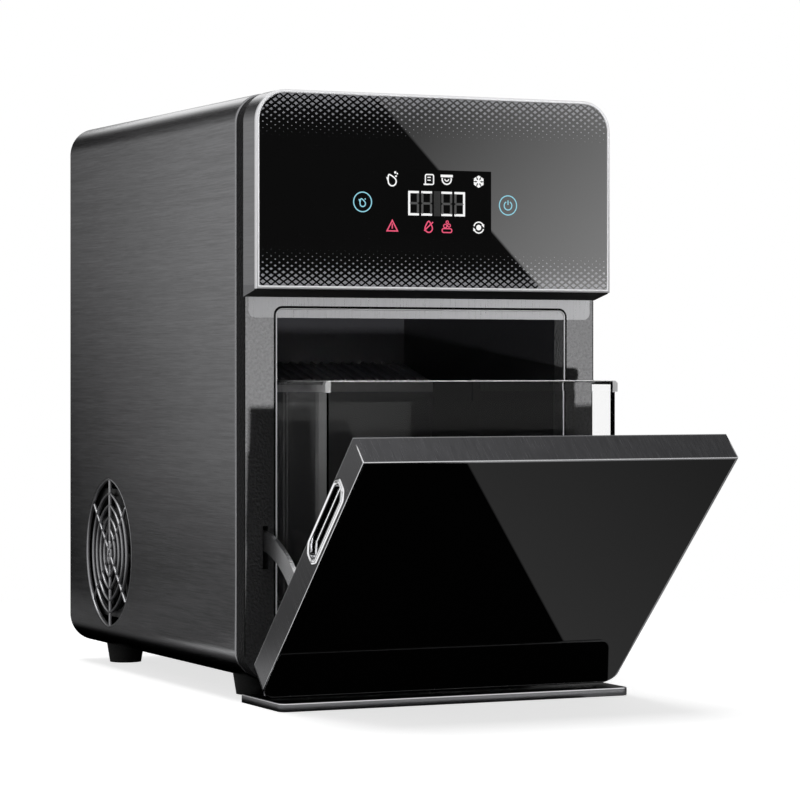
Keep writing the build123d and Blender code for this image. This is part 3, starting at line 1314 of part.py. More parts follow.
with BuildPart() as drain_outlet:
    drain_y = (REAR_PANEL_BACK - DRAIN_LENGTH + DRAIN_CAP_LENGTH, REAR_PANEL_FACE + DRAIN_STAND_OUT)
    drain_bore = (drain_y[0] + DRAIN_END_WALL, drain_y[1])
    rod_y(DRAIN_X, drain_y, DRAIN_Z, DRAIN_RADIUS)
    rod_y(DRAIN_X, drain_bore, DRAIN_Z, DRAIN_RADIUS - DRAIN_WALL, mode=Mode.SUBTRACT)
save(drain_outlet.part, "drain_outlet")

with BuildPart() as drain_cap:
    cap_face = drain_y[1] + DRAIN_CAP_GAP
    plug_radius = DRAIN_RADIUS - DRAIN_WALL - DRAIN_PLUG_CLEARANCE
    rod_y(DRAIN_X, (cap_face, cap_face + DRAIN_CAP_WALL), DRAIN_Z, DRAIN_RADIUS + DRAIN_CAP_LIP)
    rod_y(DRAIN_X, (cap_face - DRAIN_CAP_LENGTH, cap_face), DRAIN_Z, plug_radius)
save(drain_cap.part, "drain_cap")

# ---------------------------------------------------------------- hinge on the cabinet
with BuildPart() as hinge_brackets:
    for side, _ in SIDES:
        for near in (
            HINGE_X - EAR_WIDTH / 2 - BRACKET_SIDE_GAP - BRACKET_CHEEK,
            HINGE_X + EAR_WIDTH / 2 + BRACKET_SIDE_GAP,
        ):
            cheek = across(side, near, near + BRACKET_CHEEK)
            with BuildSketch(facing_right(cheek[0])):
                with BuildLine():
                    Polyline(
                        (HINGE_Y - BRACKET_FRONT, CABINET_BOTTOM),
                        (NOTCH_REAR, CABINET_BOTTOM),
                        (NOTCH_REAR, FLOOR_Z),
                        (HINGE_Y + BRACKET_DEPTH, FLOOR_Z),
                        (HINGE_Y + BRACKET_DEPTH, FLOOR_Z + BRACKET_REAR_HEIGHT),
                        (HINGE_Y + BRACKET_TOP_RUN, FLOOR_Z + BRACKET_HEIGHT),
                        (HINGE_Y - BRACKET_FRONT, FLOOR_Z + BRACKET_REAR_HEIGHT),
                        close=True,
                    )
                make_face()
            extrude(amount=BRACKET_CHEEK)
            rod_x(cheek, HINGE_Y, HINGE_Z, HINGE_PIN_RADIUS, mode=Mode.SUBTRACT)
        bridge_y = (NOTCH_REAR, HINGE_Y + BRACKET_DEPTH)
        half_bridge = EAR_WIDTH / 2 + BRACKET_SIDE_GAP
        span(
            across(side, HINGE_X - half_bridge, HINGE_X + half_bridge),
            bridge_y,
            (FLOOR_Z, FLOOR_Z + BRACKET_BRIDGE),
        )
save(hinge_brackets.part, "hinge_brackets")

with BuildPart() as hinge_pins:
    half_pin = EAR_WIDTH / 2 + BRACKET_SIDE_GAP + BRACKET_CHEEK
    for side, _ in SIDES:
        rod_x(across(side, HINGE_X - half_pin, HINGE_X + half_pin), HINGE_Y, HINGE_Z, HINGE_PIN_RADIUS)
save(hinge_pins.part, "hinge_pins")

# ---------------------------------------------------------------- door, drawn closed
def door_outline(inset):
    """Sketch of the door's face, closed: square top corners and round bottom corners."""
    with BuildSketch() as face:
        spanned((-HALF_DOOR + inset, DOOR_BOTTOM + inset), (HALF_DOOR - inset, DOOR_TOP - inset))
        fillet(face.vertices().group_by(Axis.Y)[0], DOOR_BOTTOM_CORNER - inset)
    return face.sketch


def pocket_outline(grow):
    """Sketch of a handle pocket: an upright rectangle with its corners cut off."""
    half_length = POCKET_LENGTH / 2 + grow
    half_width = POCKET_WIDTH / 2 + grow
    shoulder = half_length - POCKET_CHAMFER_LENGTH
    end_half_width = half_width - POCKET_CHAMFER_WIDTH
    with BuildSketch() as face:
        with BuildLine(mode=Mode.PRIVATE) as outline:
            Polyline(
                (half_width, shoulder),
                (end_half_width, half_length),
                (-end_half_width, half_length),
                (-half_width, shoulder),
                (-half_width, -shoulder),
                (-end_half_width, -half_length),
                (end_half_width, -half_length),
                (half_width, -shoulder),
                close=True,
            )
        add(make_face(outline.edges(), mode=Mode.PRIVATE))
        fillet(face.vertices(), POCKET_CORNER + grow)
    return face.sketch


POCKET_Y = (DOOR_SKIN_FRONT + DOOR_SKIN + DOOR_REAR - DOOR_INNER_PANEL) / 2
POCKET_Z = DOOR_TOP - POCKET_FROM_TOP
top_drop = DOOR_THICKNESS * math.tan(math.radians(DOOR_TOP_SLOPE))

with BuildPart() as door_shell:
    with BuildSketch(facing_front(DOOR_REAR)):
        add(door_outline(0))
    extrude(amount=DOOR_THICKNESS - DOOR_TRIM_THICKNESS)
    with BuildSketch(facing_front(DOOR_FRONT + DOOR_TRIM_THICKNESS + DOOR_GLASS_THICKNESS)):
        add(door_outline(DOOR_TRIM_WIDTH))
    extrude(amount=DOOR_GLASS_THICKNESS, mode=Mode.SUBTRACT)
    with BuildSketch(facing_front(DOOR_REAR)):
        add(door_outline(DOOR_WALL))
    extrude(amount=DOOR_REAR - DOOR_SKIN_FRONT - DOOR_SKIN, mode=Mode.SUBTRACT)
    with BuildSketch(facing_right(-HALF_DOOR)):
        with BuildLine():
            Polyline(
                (DOOR_FRONT, DOOR_TOP),
                (DOOR_REAR, DOOR_TOP - top_drop),
                (DOOR_REAR, DOOR_TOP),
                close=True,
            )
        make_face()
    extrude(amount=DOOR_WIDTH, mode=Mode.SUBTRACT)
    for side, _ in SIDES:
        with BuildSketch(facing_right(side * (HALF_DOOR - DOOR_WALL))):
            with Locations((POCKET_Y, POCKET_Z)):
                add(pocket_outline(0))
        extrude(amount=side * DOOR_WALL, mode=Mode.SUBTRACT)
save_open(door_shell.part, "door_shell")

with BuildPart() as door_trim:
    with BuildSketch(facing_front(DOOR_FRONT + DOOR_TRIM_THICKNESS)):
        add(door_outline(0))
        add(door_outline(DOOR_TRIM_WIDTH), mode=Mode.SUBTRACT)
    extrude(amount=DOOR_TRIM_THICKNESS)
save_open(door_trim.part, "door_trim")

with BuildPart() as door_glass:
    with BuildSketch(facing_front(DOOR_SKIN_FRONT)):
        add(door_outline(DOOR_TRIM_WIDTH))
    extrude(amount=DOOR_GLASS_THICKNESS + DOOR_TRIM_THICKNESS - DOOR_GLASS_RECESS)
save_open(door_glass.part, "door_glass")

with BuildPart() as door_inner_panel:
    with BuildSketch(facing_front(DOOR_REAR)):
        add(door_outline(DOOR_WALL))
    extrude(amount=DOOR_INNER_PANEL)
    for side, _ in SIDES:
        span(
            across(side, HINGE_X - EAR_WIDTH / 2, HINGE_X + EAR_WIDTH / 2),
            (DOOR_REAR - DOOR_INNER_PANEL, DOOR_REAR),
            (DOOR_BOTTOM, EAR_NECK_TOP),
            mode=Mode.SUBTRACT,
        )
save_open(door_inner_panel.part, "door_inner_panel")

for side, side_name in SIDES:
    with BuildPart() as handle_cup:
        with BuildSketch(facing_right(side * HALF_DOOR)):
            with Locations((POCKET_Y, POCKET_Z)):
                add(pocket_outline(0))
        extrude(amount=-side * POCKET_DEPTH)
        with BuildSketch(facing_right(side * HALF_DOOR)):
            with Locations((POCKET_Y, POCKET_Z)):
                add(pocket_outline(-POCKET_WALL))
        extrude(amount=-side * (POCKET_DEPTH - POCKET_WALL), mode=Mode.SUBTRACT)
    save_open(handle_cup.part, "handle_cup_" + side_name)

    with BuildPart() as handle_rim:
        with BuildSketch(facing_right(side * HALF_DOOR)):
            with Locations((POCKET_Y, POCKET_Z)):
                add(pocket_outline(HANDLE_RIM_OVERHANG))
                add(pocket_outline(-POCKET_WALL), mode=Mode.SUBTRACT)
        extrude(amount=side * HANDLE_RIM_RISE)
    save_open(handle_rim.part, "handle_rim_" + side_name)

with BuildPart() as hinge_ears:
    root_y = (DOOR_REAR - DOOR_INNER_PANEL - EAR_ROOT_DEPTH, DOOR_REAR - DOOR_INNER_PANEL)
    root_z = (DOOR_BOTTOM + DOOR_WALL, EAR_ROOT_TOP)
    for side, _ in SIDES:
        span(across(side, HINGE_X - EAR_ROOT_WIDTH / 2, HINGE_X + EAR_ROOT_WIDTH / 2), root_y, root_z)
        ear = across(side, HINGE_X - EAR_WIDTH / 2, HINGE_X + EAR_WIDTH / 2)
        with BuildSketch(facing_right(ear[0])):
            with BuildLine():
                Polyline(
                    (root_y[1], root_z[0]),
                    (DOOR_REAR, root_z[0]),
                    (HINGE_Y - EAR_EYE_RADIUS, HINGE_Z),
                    (HINGE_Y + EAR_EYE_RADIUS, HINGE_Z),
                    (HINGE_Y + EAR_SHOULDER_Y, HINGE_Z + EAR_SHOULDER_Z),
                    (DOOR_REAR, EAR_NECK_TOP),
                    (root_y[1], EAR_NECK_TOP),
                    close=True,
                )
            make_face()
            with Locations((HINGE_Y, HINGE_Z)):
                Circle(EAR_EYE_RADIUS)
        extrude(amount=EAR_WIDTH)
        rod_x(ear, HINGE_Y, HINGE_Z, HINGE_PIN_RADIUS + HINGE_RUNNING_CLEARANCE, mode=Mode.SUBTRACT)
save_open(hinge_ears.part, "hinge_ears")


def arc_band(inner, outer, start, end):
    """Sketch of an arc band about the hinge, angles in degrees from the rear, upwards."""
    def at(radius, angle):
        turned = math.radians(angle)
        return (HINGE_Y + radius * math.cos(turned), HINGE_Z + radius * math.sin(turned))

    middle = (start + end) / 2
    with BuildSketch() as band:
        with BuildLine(mode=Mode.PRIVATE) as outline:
            ThreePointArc(at(inner, start), at(inner, middle), at(inner, end))
            Line(at(inner, end), at(outer, end))
            ThreePointArc(at(outer, end), at(outer, middle), at(outer, start))
            Line(at(outer, start), at(inner, start))
        add(make_face(outline.edges(), mode=Mode.PRIVATE))
    return band.sketch


with BuildPart() as stay_arms:
    root_angle = 90 + math.degrees(math.asin((HINGE_Y - DOOR_REAR) / STAY_OUTER_RADIUS))
    for side, _ in SIDES:
        arm = across(side, STAY_X - STAY_THICKNESS / 2, STAY_X + STAY_THICKNESS / 2)
        with BuildSketch(facing_right(arm[0])):
            add(
                arc_band(
                    STAY_INNER_RADIUS,
                    STAY_OUTER_RADIUS,
                    STAY_END_ANGLE,
                    root_angle + STAY_ROOT_EXTRA_ANGLE,
                )
            )
            add(
                arc_band(
                    STAY_INNER_RADIUS,
                    STAY_STOP_RADIUS,
                    STAY_END_ANGLE,
                    STAY_END_ANGLE + STAY_STOP_ANGLE,
                )
            )
        extrude(amount=STAY_THICKNESS)
    span((-HALF_DOOR, HALF_DOOR), (2 * DOOR_FRONT, DOOR_REAR), (0, DOOR_TOP), mode=Mode.SUBTRACT)
    for side, _ in SIDES:
        foot_x = across(side, STAY_X - STAY_FOOT_WIDTH / 2, STAY_X + STAY_FOOT_WIDTH / 2)
        foot_z = (
            HINGE_Z + STAY_INNER_RADIUS - STAY_FOOT_OVERHANG,
            HINGE_Z + STAY_OUTER_RADIUS + STAY_FOOT_OVERHANG - STAY_FOOT_THICKNESS,
        )
        span(foot_x, (DOOR_REAR, DOOR_REAR + STAY_FOOT_THICKNESS), foot_z)
save_open(stay_arms.part, "stay_arms")

# ---------------------------------------------------------------- ice bin
def bin_profile(inset, floor_inset):
    """Side view of the bin, its lower front sloped to clear the closing door."""
    slope_z = BIN_BOTTOM + floor_inset
    setback = BIN_SLOPE_SETBACK * (BIN_SLOPE_TOP - slope_z) / (BIN_SLOPE_TOP - BIN_BOTTOM)
    with BuildSketch() as profile:
        with BuildLine():
            Polyline(
                (BIN_FRONT + inset, BIN_TOP),
                (BIN_FRONT + inset, BIN_SLOPE_TOP),
                (BIN_FRONT + inset + setback, slope_z),
                (BIN_REAR - inset, slope_z),
                (BIN_REAR - inset, BIN_TOP),
                close=True,
            )
        make_face()
    return profile.sketch


with BuildPart() as ice_bin:
    bin_half = HALF_BIN - BIN_RIM_RISE
    inner_inset = BIN_RIM_RISE + BIN_WALL
    with BuildSketch(facing_right(-bin_half)):
        add(bin_profile(BIN_RIM_RISE, 0))
    extrude(amount=2 * bin_half)
    span(
        (-HALF_BIN, HALF_BIN),
        (BIN_FRONT, BIN_REAR - BIN_RIM_RISE),
        (BIN_TOP - BIN_RIM_HEIGHT, BIN_TOP),
    )
    fillet(ice_bin.edges().filter_by(Axis.Y).group_by(Axis.Z)[-1], BIN_RIM_CORNER)
    with BuildSketch(facing_right(-bin_half + BIN_WALL)):
        add(bin_profile(inner_inset, BIN_WALL))
    extrude(amount=2 * (bin_half - BIN_WALL), mode=Mode.SUBTRACT)
    span(
        (-bin_half + 3 * BIN_WALL, bin_half - 3 * BIN_WALL),
        (BIN_REAR - 2 * inner_inset, BIN_REAR),
        (BIN_TOP - BIN_REAR_NOTCH, BIN_TOP),
        mode=Mode.SUBTRACT,
    )
save(ice_bin.part, "ice_bin")
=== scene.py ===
import math

import bmesh
import bpy
import numpy as np
from mathutils import Matrix, Vector


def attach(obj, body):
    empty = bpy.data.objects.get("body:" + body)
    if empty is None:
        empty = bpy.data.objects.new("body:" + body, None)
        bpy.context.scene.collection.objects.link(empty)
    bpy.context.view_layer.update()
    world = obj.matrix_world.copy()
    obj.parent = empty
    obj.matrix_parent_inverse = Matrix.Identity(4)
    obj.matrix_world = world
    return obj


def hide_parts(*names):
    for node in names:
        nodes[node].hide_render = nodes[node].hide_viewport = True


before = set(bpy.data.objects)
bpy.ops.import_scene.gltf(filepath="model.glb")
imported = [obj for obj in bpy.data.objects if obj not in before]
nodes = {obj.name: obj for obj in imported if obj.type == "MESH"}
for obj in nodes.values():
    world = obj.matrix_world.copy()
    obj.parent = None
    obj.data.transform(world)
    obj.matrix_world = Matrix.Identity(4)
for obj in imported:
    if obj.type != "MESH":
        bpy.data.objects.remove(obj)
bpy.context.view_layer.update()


# ---------------- cabinet wrapper
# One black stainless sheet, brushed from front to back and bent round into a tube.
# The cut front edge is ground, and painted a little lighter as a highlight; a pointed oval is cut
# from each side for the vent.
def linear(colour):
    """sRGB hex such as "#6a6a6c" as linear RGBA, by the sRGB curve."""
    parts = [int(colour[i:i + 2], 16) / 255 for i in (1, 3, 5)]
    return [c / 12.92 if c <= 0.04045 else ((c + 0.055) / 1.055) ** 2.4 for c in parts] + [1.0]


def add(tree, kind, inputs=(), **settings):
    """Adds one shader node. inputs maps a socket's name or number to a value, to one output of a
    node, or to a node, whose first output in use is joined to it. A Mix node's socket 0 is the
    share of its second input; the inputs are 2 and 3 for numbers, 6 and 7 for colours."""
    node = tree.nodes.new("ShaderNode" + kind)
    for name, value in settings.items():
        setattr(node, name, value)
    for socket, value in dict(inputs).items():
        if isinstance(value, bpy.types.Node):
            value = next(output for output in value.outputs if output.enabled)
        if isinstance(value, bpy.types.NodeSocket):
            tree.links.new(value, node.inputs[socket])
        else:
            node.inputs[socket].default_value = value
    return node


def finish_of(name, colour, metallic, roughness, **sockets):
    """New material of one finish: returns the material, its node tree and its surface shader."""
    material = bpy.data.materials.new(name)
    material.use_nodes = True
    surface = material.node_tree.nodes["Principled BSDF"]
    surface.inputs["Base Color"].default_value = linear(colour)
    surface.inputs["Metallic"].default_value = metallic
    surface.inputs["Roughness"].default_value = roughness
    for socket, value in sockets.items():
        surface.inputs[socket.replace("_", " ")].default_value = value
    return material, material.node_tree, surface


def rounded(low, high, radii, inset=0.0, steps=8):
    """Rounded rectangle in two axes: corner k (low-low, high-low, high-high, low-high) is an arc of
    radius r - inset about a centre r inside both edges, or a square corner once inset passes r."""
    radii = np.broadcast_to(np.asarray(radii, float), 4)
    corners = np.array([[low[0], low[1]], [high[0], low[1]],
                        [high[0], high[1]], [low[0], high[1]]], float)
    inward = np.array([[1, 1], [-1, 1], [-1, -1], [1, -1]], float)
    centres = corners + inward * np.maximum(radii, inset)[:, None]
    quarter = math.pi / 2
    turn = np.linspace(0, quarter, steps + 1)[None, :] + math.pi + np.arange(4)[:, None] * quarter
    reach = np.maximum(radii - inset, 0)[:, None]
    points = centres[:, None, :] + np.stack([reach * np.cos(turn), reach * np.sin(turn)], -1)
    return points.reshape(-1, 2)


def skin(name, *stacks):
    """One mesh over stacks of closed outlines, in millimetres. Vertex (i, j) is point j of outline
    i and each quad joins (i, j), (i, j+1), (i+1, j+1), (i+1, j). A stack is (outlines, "caps") with
    both ends filled, or (outlines, "round") with the last outline joined to the first."""
    points, faces, start = [], [], 0
    for outlines, ends in stacks:
        outlines = np.asarray(outlines, float)
        rows, columns = outlines.shape[:2]
        index = np.arange(rows * columns).reshape(rows, columns) + start
        strip = np.vstack([index, index[:1]]) if ends == "round" else index
        near, far = strip[:-1], strip[1:]
        quads = np.stack([near, np.roll(near, -1, 1), np.roll(far, -1, 1), far], -1)
        faces += quads.reshape(-1, 4).tolist()
        if ends == "caps":
            faces += [index[0][::-1].tolist(), index[-1].tolist()]
        points.append(outlines.reshape(-1, 3) / 1000)
        start += rows * columns
    mesh = bpy.data.meshes.new(name)
    mesh.from_pydata(np.concatenate(points), [], faces)
    piece = bpy.data.objects.new(name, mesh)
    bpy.context.scene.collection.objects.link(piece)
    tidy(piece)
    return piece


def tidy(piece, merge=1e-6, smooth_under=32):
    """Merges doubles, turns the faces outwards and smooths across edges under so many degrees."""
    shape = bmesh.new()
    shape.from_mesh(piece.data)
    bmesh.ops.remove_doubles(shape, verts=shape.verts, dist=merge)
    bmesh.ops.dissolve_degenerate(shape, edges=shape.edges, dist=merge)
    bmesh.ops.recalc_face_normals(shape, faces=shape.faces)
    shape.to_mesh(piece.data)
    shape.free()
    piece.data.shade_smooth()
    piece.data.set_sharp_from_angle(angle=math.radians(smooth_under))


def cut(piece, *tools):
    """Takes the tools' shapes out of a piece and removes them."""
    for tool in tools:
        step = piece.modifiers.new("cut", "BOOLEAN")
        step.operation = "DIFFERENCE"
        step.solver = "EXACT"
        step.object = tool
        bpy.context.view_layer.objects.active = piece
        bpy.ops.object.modifier_apply(modifier=step.name)
        bpy.data.objects.remove(tool)
    tidy(piece)


def placed(piece, body, material, slot, *replaced):
    """Paints a new piece, makes it ride on a body and stand for CAD nodes."""
    piece.data.materials.clear()
    piece.data.materials.append(material)
    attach(piece, body)
    if replaced:
        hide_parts(*replaced)


def coordinates(tree):
    """X, Y and Z of a point of the piece, in metres."""
    return add(tree, "SeparateXYZ", {0: add(tree, "TexCoord").outputs["Object"]}).outputs


def overlay(material, mask, colour):
    """Lays a colour over a finish where the mask is 1."""
    tree = material.node_tree
    socket = tree.nodes["Principled BSDF"].inputs["Base Color"]
    below = socket.links[0].from_socket if socket.is_linked else list(socket.default_value)
    both = add(tree, "Mix", {0: mask, 6: below, 7: linear(colour)}, data_type="RGBA")
    tree.links.new(both.outputs[2], socket)


def mottled(tree, surface, colour, spread, share, pattern, roughness, swing, depth):
    """Lets a pattern show in a finish: by share the colour runs from 1 - spread to 1 + spread times
    itself, and by pattern the roughness varies by swing and the surface rises depth millimetres."""
    low = [c * (1 - spread) for c in linear(colour)[:3]] + [1]
    high = [min(c * (1 + spread), 1) for c in linear(colour)[:3]] + [1]
    shade = add(tree, "Mix", {0: share, 6: low, 7: high}, data_type="RGBA")
    tree.links.new(shade.outputs[2], surface.inputs["Base Color"])
    rough = add(tree, "MapRange", {
        "Value": pattern, "From Min": 0.3, "From Max": 0.7,
        "To Min": roughness * (1 - swing), "To Max": roughness * (1 + swing)})
    tree.links.new(rough.outputs[0], surface.inputs["Roughness"])
    relief = add(tree, "Bump", {"Height": pattern, "Distance": depth / 1000})
    tree.links.new(relief.outputs[0], surface.inputs["Normal"])


def brushed(name, colour, roughness, strokes, turn=0.0, streak=0.2, depth=0.008):
    """Brushed metal: noise drawn out along the strokes, after turning about X, plus 0.3 of the same
    noise five times larger. strokes is the size of one stroke along X, Y and Z in millimetres; real
    ones are about 0.1 mm across, drawn 0.6 to 0.9 mm wide to show."""
    material, tree, surface = finish_of(name, colour, 1.0, roughness)
    place = add(tree, "Mapping", {
        "Vector": add(tree, "TexCoord").outputs["Object"], "Rotation": (turn, 0, 0),
        "Scale": [n / 1000 for n in strokes]}, vector_type="TEXTURE")
    fine = add(tree, "TexNoise", {"Vector": place, "Scale": 1.0, "Detail": 4.0, "Roughness": 0.7})
    wide = add(tree, "TexNoise", {"Vector": place, "Scale": 0.2, "Detail": 2.0})
    both = add(tree, "Math", {0: wide, 1: 0.3, 2: fine.outputs[0]}, operation="MULTIPLY_ADD")
    tone = add(tree, "MapRange", {"Value": both, "From Min": 0.45, "From Max": 0.85})
    mottled(tree, surface, colour, streak, tone, fine.outputs[0], roughness, 0.15, depth)
    return material


def pointed_oval(half_width, half_height, inset=0.0, steps=24):
    """Pointed oval in two axes: two arcs through the side points and the tips. Its radius is
    (w^2 + h^2) / 2w, and an inset takes from the radius about the same centres."""
    radius = (half_width ** 2 + half_height ** 2) / (2 * half_width)
    centre = radius - half_width
    reach = radius - inset
    tip = math.sqrt(max(reach ** 2 - centre ** 2, 1e-9))
    angle = np.linspace(-1, 1, steps + 1)[:-1] * math.atan2(tip, centre)
    arc = np.stack([reach * np.cos(angle) - centre, reach * np.sin(angle)], -1)
    return np.concatenate([arc, -arc])


def upright(points, y):
    """Outline in X and Z set at depth y, which may be one value or one for each point."""
    return np.stack([points[:, 0], np.broadcast_to(y, len(points)), points[:, 1]], -1)


def sideways(points, x):
    """Outline in Y and Z set at x, which may be one value or one for each point."""
    return np.stack([np.broadcast_to(x, len(points)), points[:, 0], points[:, 1]], -1)


def hoop(name, low, high, corners, section, steps):
    """Closed ring along a rounded rectangle in X and Z. Its section is pairs: how far inside the
    outline, and how far back."""
    return skin(name, ([upright(rounded(low, high, corners, inset, steps), y)
                        for inset, y in section], "round"))


HALF_CABINET, CABINET_LOW, CABINET_HIGH, CABINET_REAR = 139.5, 15.2, 430.0, 376.5
CORNER, SHEET, FRAME_DEPTH, PAST_SIDES = 22.0, 2.0, 15.0, 150.0
VENT_Y, VENT_Z, VENT_HALF_WIDTH, VENT_HALF_HEIGHT = 283.5, 91.0, 53.5, 58.6
# The door's two hinge ears pass through notches in the bottom front edge.
EAR_X, NOTCH_HALF = 100.0, 12.9
NOTCH_LOW, NOTCH_HIGH, NOTCH_FRONT, NOTCH_REAR = 14.0, 18.0, 14.0, 21.3

# Section: how far inside the outline, and how far back.
sheet_edge = [(0.5, CABINET_REAR), (0, CABINET_REAR - 0.5), (0, CABINET_REAR - 1.5),
              (0, FRAME_DEPTH + 2.0), (0, FRAME_DEPTH + 1.0), (0.3, FRAME_DEPTH + 0.3),
              (1.0, FRAME_DEPTH), (SHEET, FRAME_DEPTH), (SHEET, CABINET_REAR)]
wrapper = hoop("cabinet_wrapper", (-HALF_CABINET, CABINET_LOW), (HALF_CABINET, CABINET_HIGH),
               CORNER, sheet_edge, 16)
oval = pointed_oval(VENT_HALF_WIDTH, VENT_HALF_HEIGHT) + (VENT_Y, VENT_Z)
vent_hole = skin("vent_hole", ([sideways(oval, x) for x in (-PAST_SIDES, PAST_SIDES)], "caps"))
ear_notches = [skin("ear_notch", ([
    upright(rounded((x - NOTCH_HALF, NOTCH_LOW), (x + NOTCH_HALF, NOTCH_HIGH), 0, 0, 1), y)
    for y in (NOTCH_FRONT, NOTCH_REAR)], "caps")) for x in (-EAR_X, EAR_X)]
cut(wrapper, vent_hole, *ear_notches)

# Brushing draws fine bright and dark streaks from front to back and spreads what the steel mirrors.
black_stainless = brushed("brushed black stainless", "#757577", 0.2, (0.6, 28, 0.6), streak=0.34)
# The ground front edge is painted a faint light line, 0.9 mm deep, as a highlight.
y = coordinates(black_stainless.node_tree)["Y"]
ground_edge_highlight = add(black_stainless.node_tree, "MapRange", {
    "Value": y, "From Min": 0.0160, "From Max": 0.0158})
overlay(black_stainless, ground_edge_highlight, "#8e8e90")
placed(wrapper, "cabinet", black_stainless, "black_steel_wrapper", "wrapper_shell")


# ---------------- vent grilles
# Chrome-plated die castings behind the ovals: six pointed rings, one inside the other, joined by
# an upright bar and two slanting bars, all half-round in section.
def bar(side, half_length, turn):
    """Straight half-round bar through the vent's middle, turned in the plane of the side."""
    c, s = math.cos(turn), math.sin(turn)
    spin = np.array([[c, s], [-s, c]])
    outlines = [rounded((-BAR_HALF, -half_length), (BAR_HALF, half_length), 0, inset, 1) @ spin
                for inset, _ in bar_section]
    return [sideways(outline + (VENT_Y, VENT_Z), side * (HALF_CABINET - depth))
            for outline, (_, depth) in zip(outlines, bar_section)]


# Half the width and height of each ring; the outermost fills the oval.
vent_rings = [(VENT_HALF_WIDTH, VENT_HALF_HEIGHT)] + [
    (48.5 - 8.8 * ring, 56.8 - 9.3 * ring) for ring in range(1, 6)]
UPRIGHT_BAR, SLANTING_BAR, SLANT, BAR_HALF = 57.7, 51.7, math.radians(45), 0.9
# Sections: how far inside the outline, and how far below the cabinet's side.
ring_section = [(0, 2.6), (0, 0.7), (0.25, 0.2), (0.9, 0), (1.55, 0.2), (1.8, 0.7), (1.8, 2.6)]
bar_section = [(0, 2.6), (0, 0.8), (0.25, 0.35), (0.7, 0.12)]
# Plating over a cast surface mirrors softly, so the bars are pale grey lines over the dark.
vent_chrome = finish_of("plated chrome", "#98989a", 1.0, 0.3)[0]
for side, side_name in ((-1, "left"), (1, "right")):
    rings = [([sideways(pointed_oval(w, h, inset) + (VENT_Y, VENT_Z), side * (HALF_CABINET - depth))
               for inset, depth in ring_section], "round") for w, h in vent_rings]
    bars = [(bar(side, half, turn), "caps") for half, turn in (
        (UPRIGHT_BAR, 0), (SLANTING_BAR, SLANT), (SLANTING_BAR, -SLANT))]
    grille = skin("vent_bars_" + side_name, *rings, *bars)
    placed(grille, "cabinet", vent_chrome, "vent_chrome", "vent_grille_" + side_name)


# ---------------- front frame
# Moulded ABS frame with a fine leather grain, sprayed silver grey. A brushed stainless strip lies
# flush in its brow, and a thin rounded lip runs round the mouth of the bin space.
def grained(name, colour, roughness, grain, depth, metallic=0.0, spread=0.06):
    """Moulded or cast surface: noise cells of the given size in millimetres stand depth proud. Real
    grain is 0.05 to 0.3 mm across, drawn 0.7 mm or more across to show."""
    material, tree, surface = finish_of(name, colour, metallic, roughness)
    place = add(tree, "TexCoord").outputs["Object"]
    cells = add(tree, "TexNoise", {"Vector": place, "Scale": 1000 / grain, "Detail": 2.0})
    cells = cells.outputs[0]
    mottled(tree, surface, colour, spread, cells, cells, roughness, 0.12, depth)
    return material


def paint(material, *names):
    """Gives CAD nodes their finish."""
    for name in names:
        nodes[name].data.materials.clear()
        nodes[name].data.materials.append(material)


MOUTH_LOW, MOUTH_HIGH, MOUTH_CORNER = (-115.8, 54.2), (115.8, 279.0), 6.0
# Leather grain breaks up light from below. A black line of painted shade runs along the front
# face's outer edge, and what lies behind its front face over 125 mm out or 350 mm up is dark grey.
frame_grey = grained("sprayed silver-grey ABS, leather grain", "#838384", 0.5, 2.0, 1.3, 0.0, 0.36)
tree = frame_grey.node_tree
tree.nodes["Principled BSDF"].inputs["Specular IOR Level"].default_value = 0.05
x, y, z = coordinates(tree)
across = add(tree, "Math", {0: x}, operation="ABSOLUTE")
from_top = add(tree, "Math", {0: z, 1: -0.225})
margin = add(tree, "Math", {0: across, 1: from_top}, operation="MAXIMUM")
outside, behind, outer = [
    add(tree, "MapRange", {"Value": value, "From Min": start, "From Max": end})
    for value, start, end in ((margin, 0.1249, 0.1251), (y, 0.0001, 0.0003),
                              (across, 0.1377, 0.1379))]
product = {"operation": "MULTIPLY"}
# Painted shade: a black line along the outer edge of the front face, where it meets the side.
overlay(frame_grey, outer, "#101010")
overlay(frame_grey, add(tree, "Math", {0: outside, 1: behind}, **product), "#2a2a2b")
paint(frame_grey, "front_frame")
# Upright brushing, so the strip shows fine vertical streaks.
brow_steel = brushed("brushed stainless strip", "#b4b4b6", 0.3, (0.8, 0.8, 30),
                     streak=0.06, depth=0.003)
paint(brow_steel, "brow_strip")
lip_section = [(1.0, 0), (1.0, -0.35), (1.2, -0.5), (1.7, -0.5), (2.0, -0.3), (2.0, 0)]
gasket_section = [(-0.5, 0), (-0.5, -0.1), (1.0, -0.1), (1.0, 0)]
lip = hoop("mouth_lip", MOUTH_LOW, MOUTH_HIGH, MOUTH_CORNER, lip_section, 12)
gasket = hoop("mouth_gasket", MOUTH_LOW, MOUTH_HIGH, MOUTH_CORNER, gasket_section, 12)
# Satin plating turns the lip into a soft grey line all round.
silver_lip = finish_of("satin silver trim", "#c8c8ca", 1.0, 0.3)[0]
placed(lip, "cabinet", silver_lip, "trim_silver", "opening_rim")
# Dull rubber mirrors nothing, so it sets the lip off with a black line outside it.
gasket_rubber = finish_of("black rubber gasket", "#040404", 0.0, 0.7, Specular_IOR_Level=0.1)[0]
placed(gasket, "cabinet", gasket_rubber, "trim_silver")

# ---------------- header
# Brushed black steel box with a satin silver bezel. Its face is tempered glass, printed black on
# the back with two bands of grey diamonds that shrink towards the middle.
HEADER_HALF, HEADER_LOW, HEADER_GLASS_Y, SHARP_CORNER = 139.4, 290.7, -23.8, 0.3
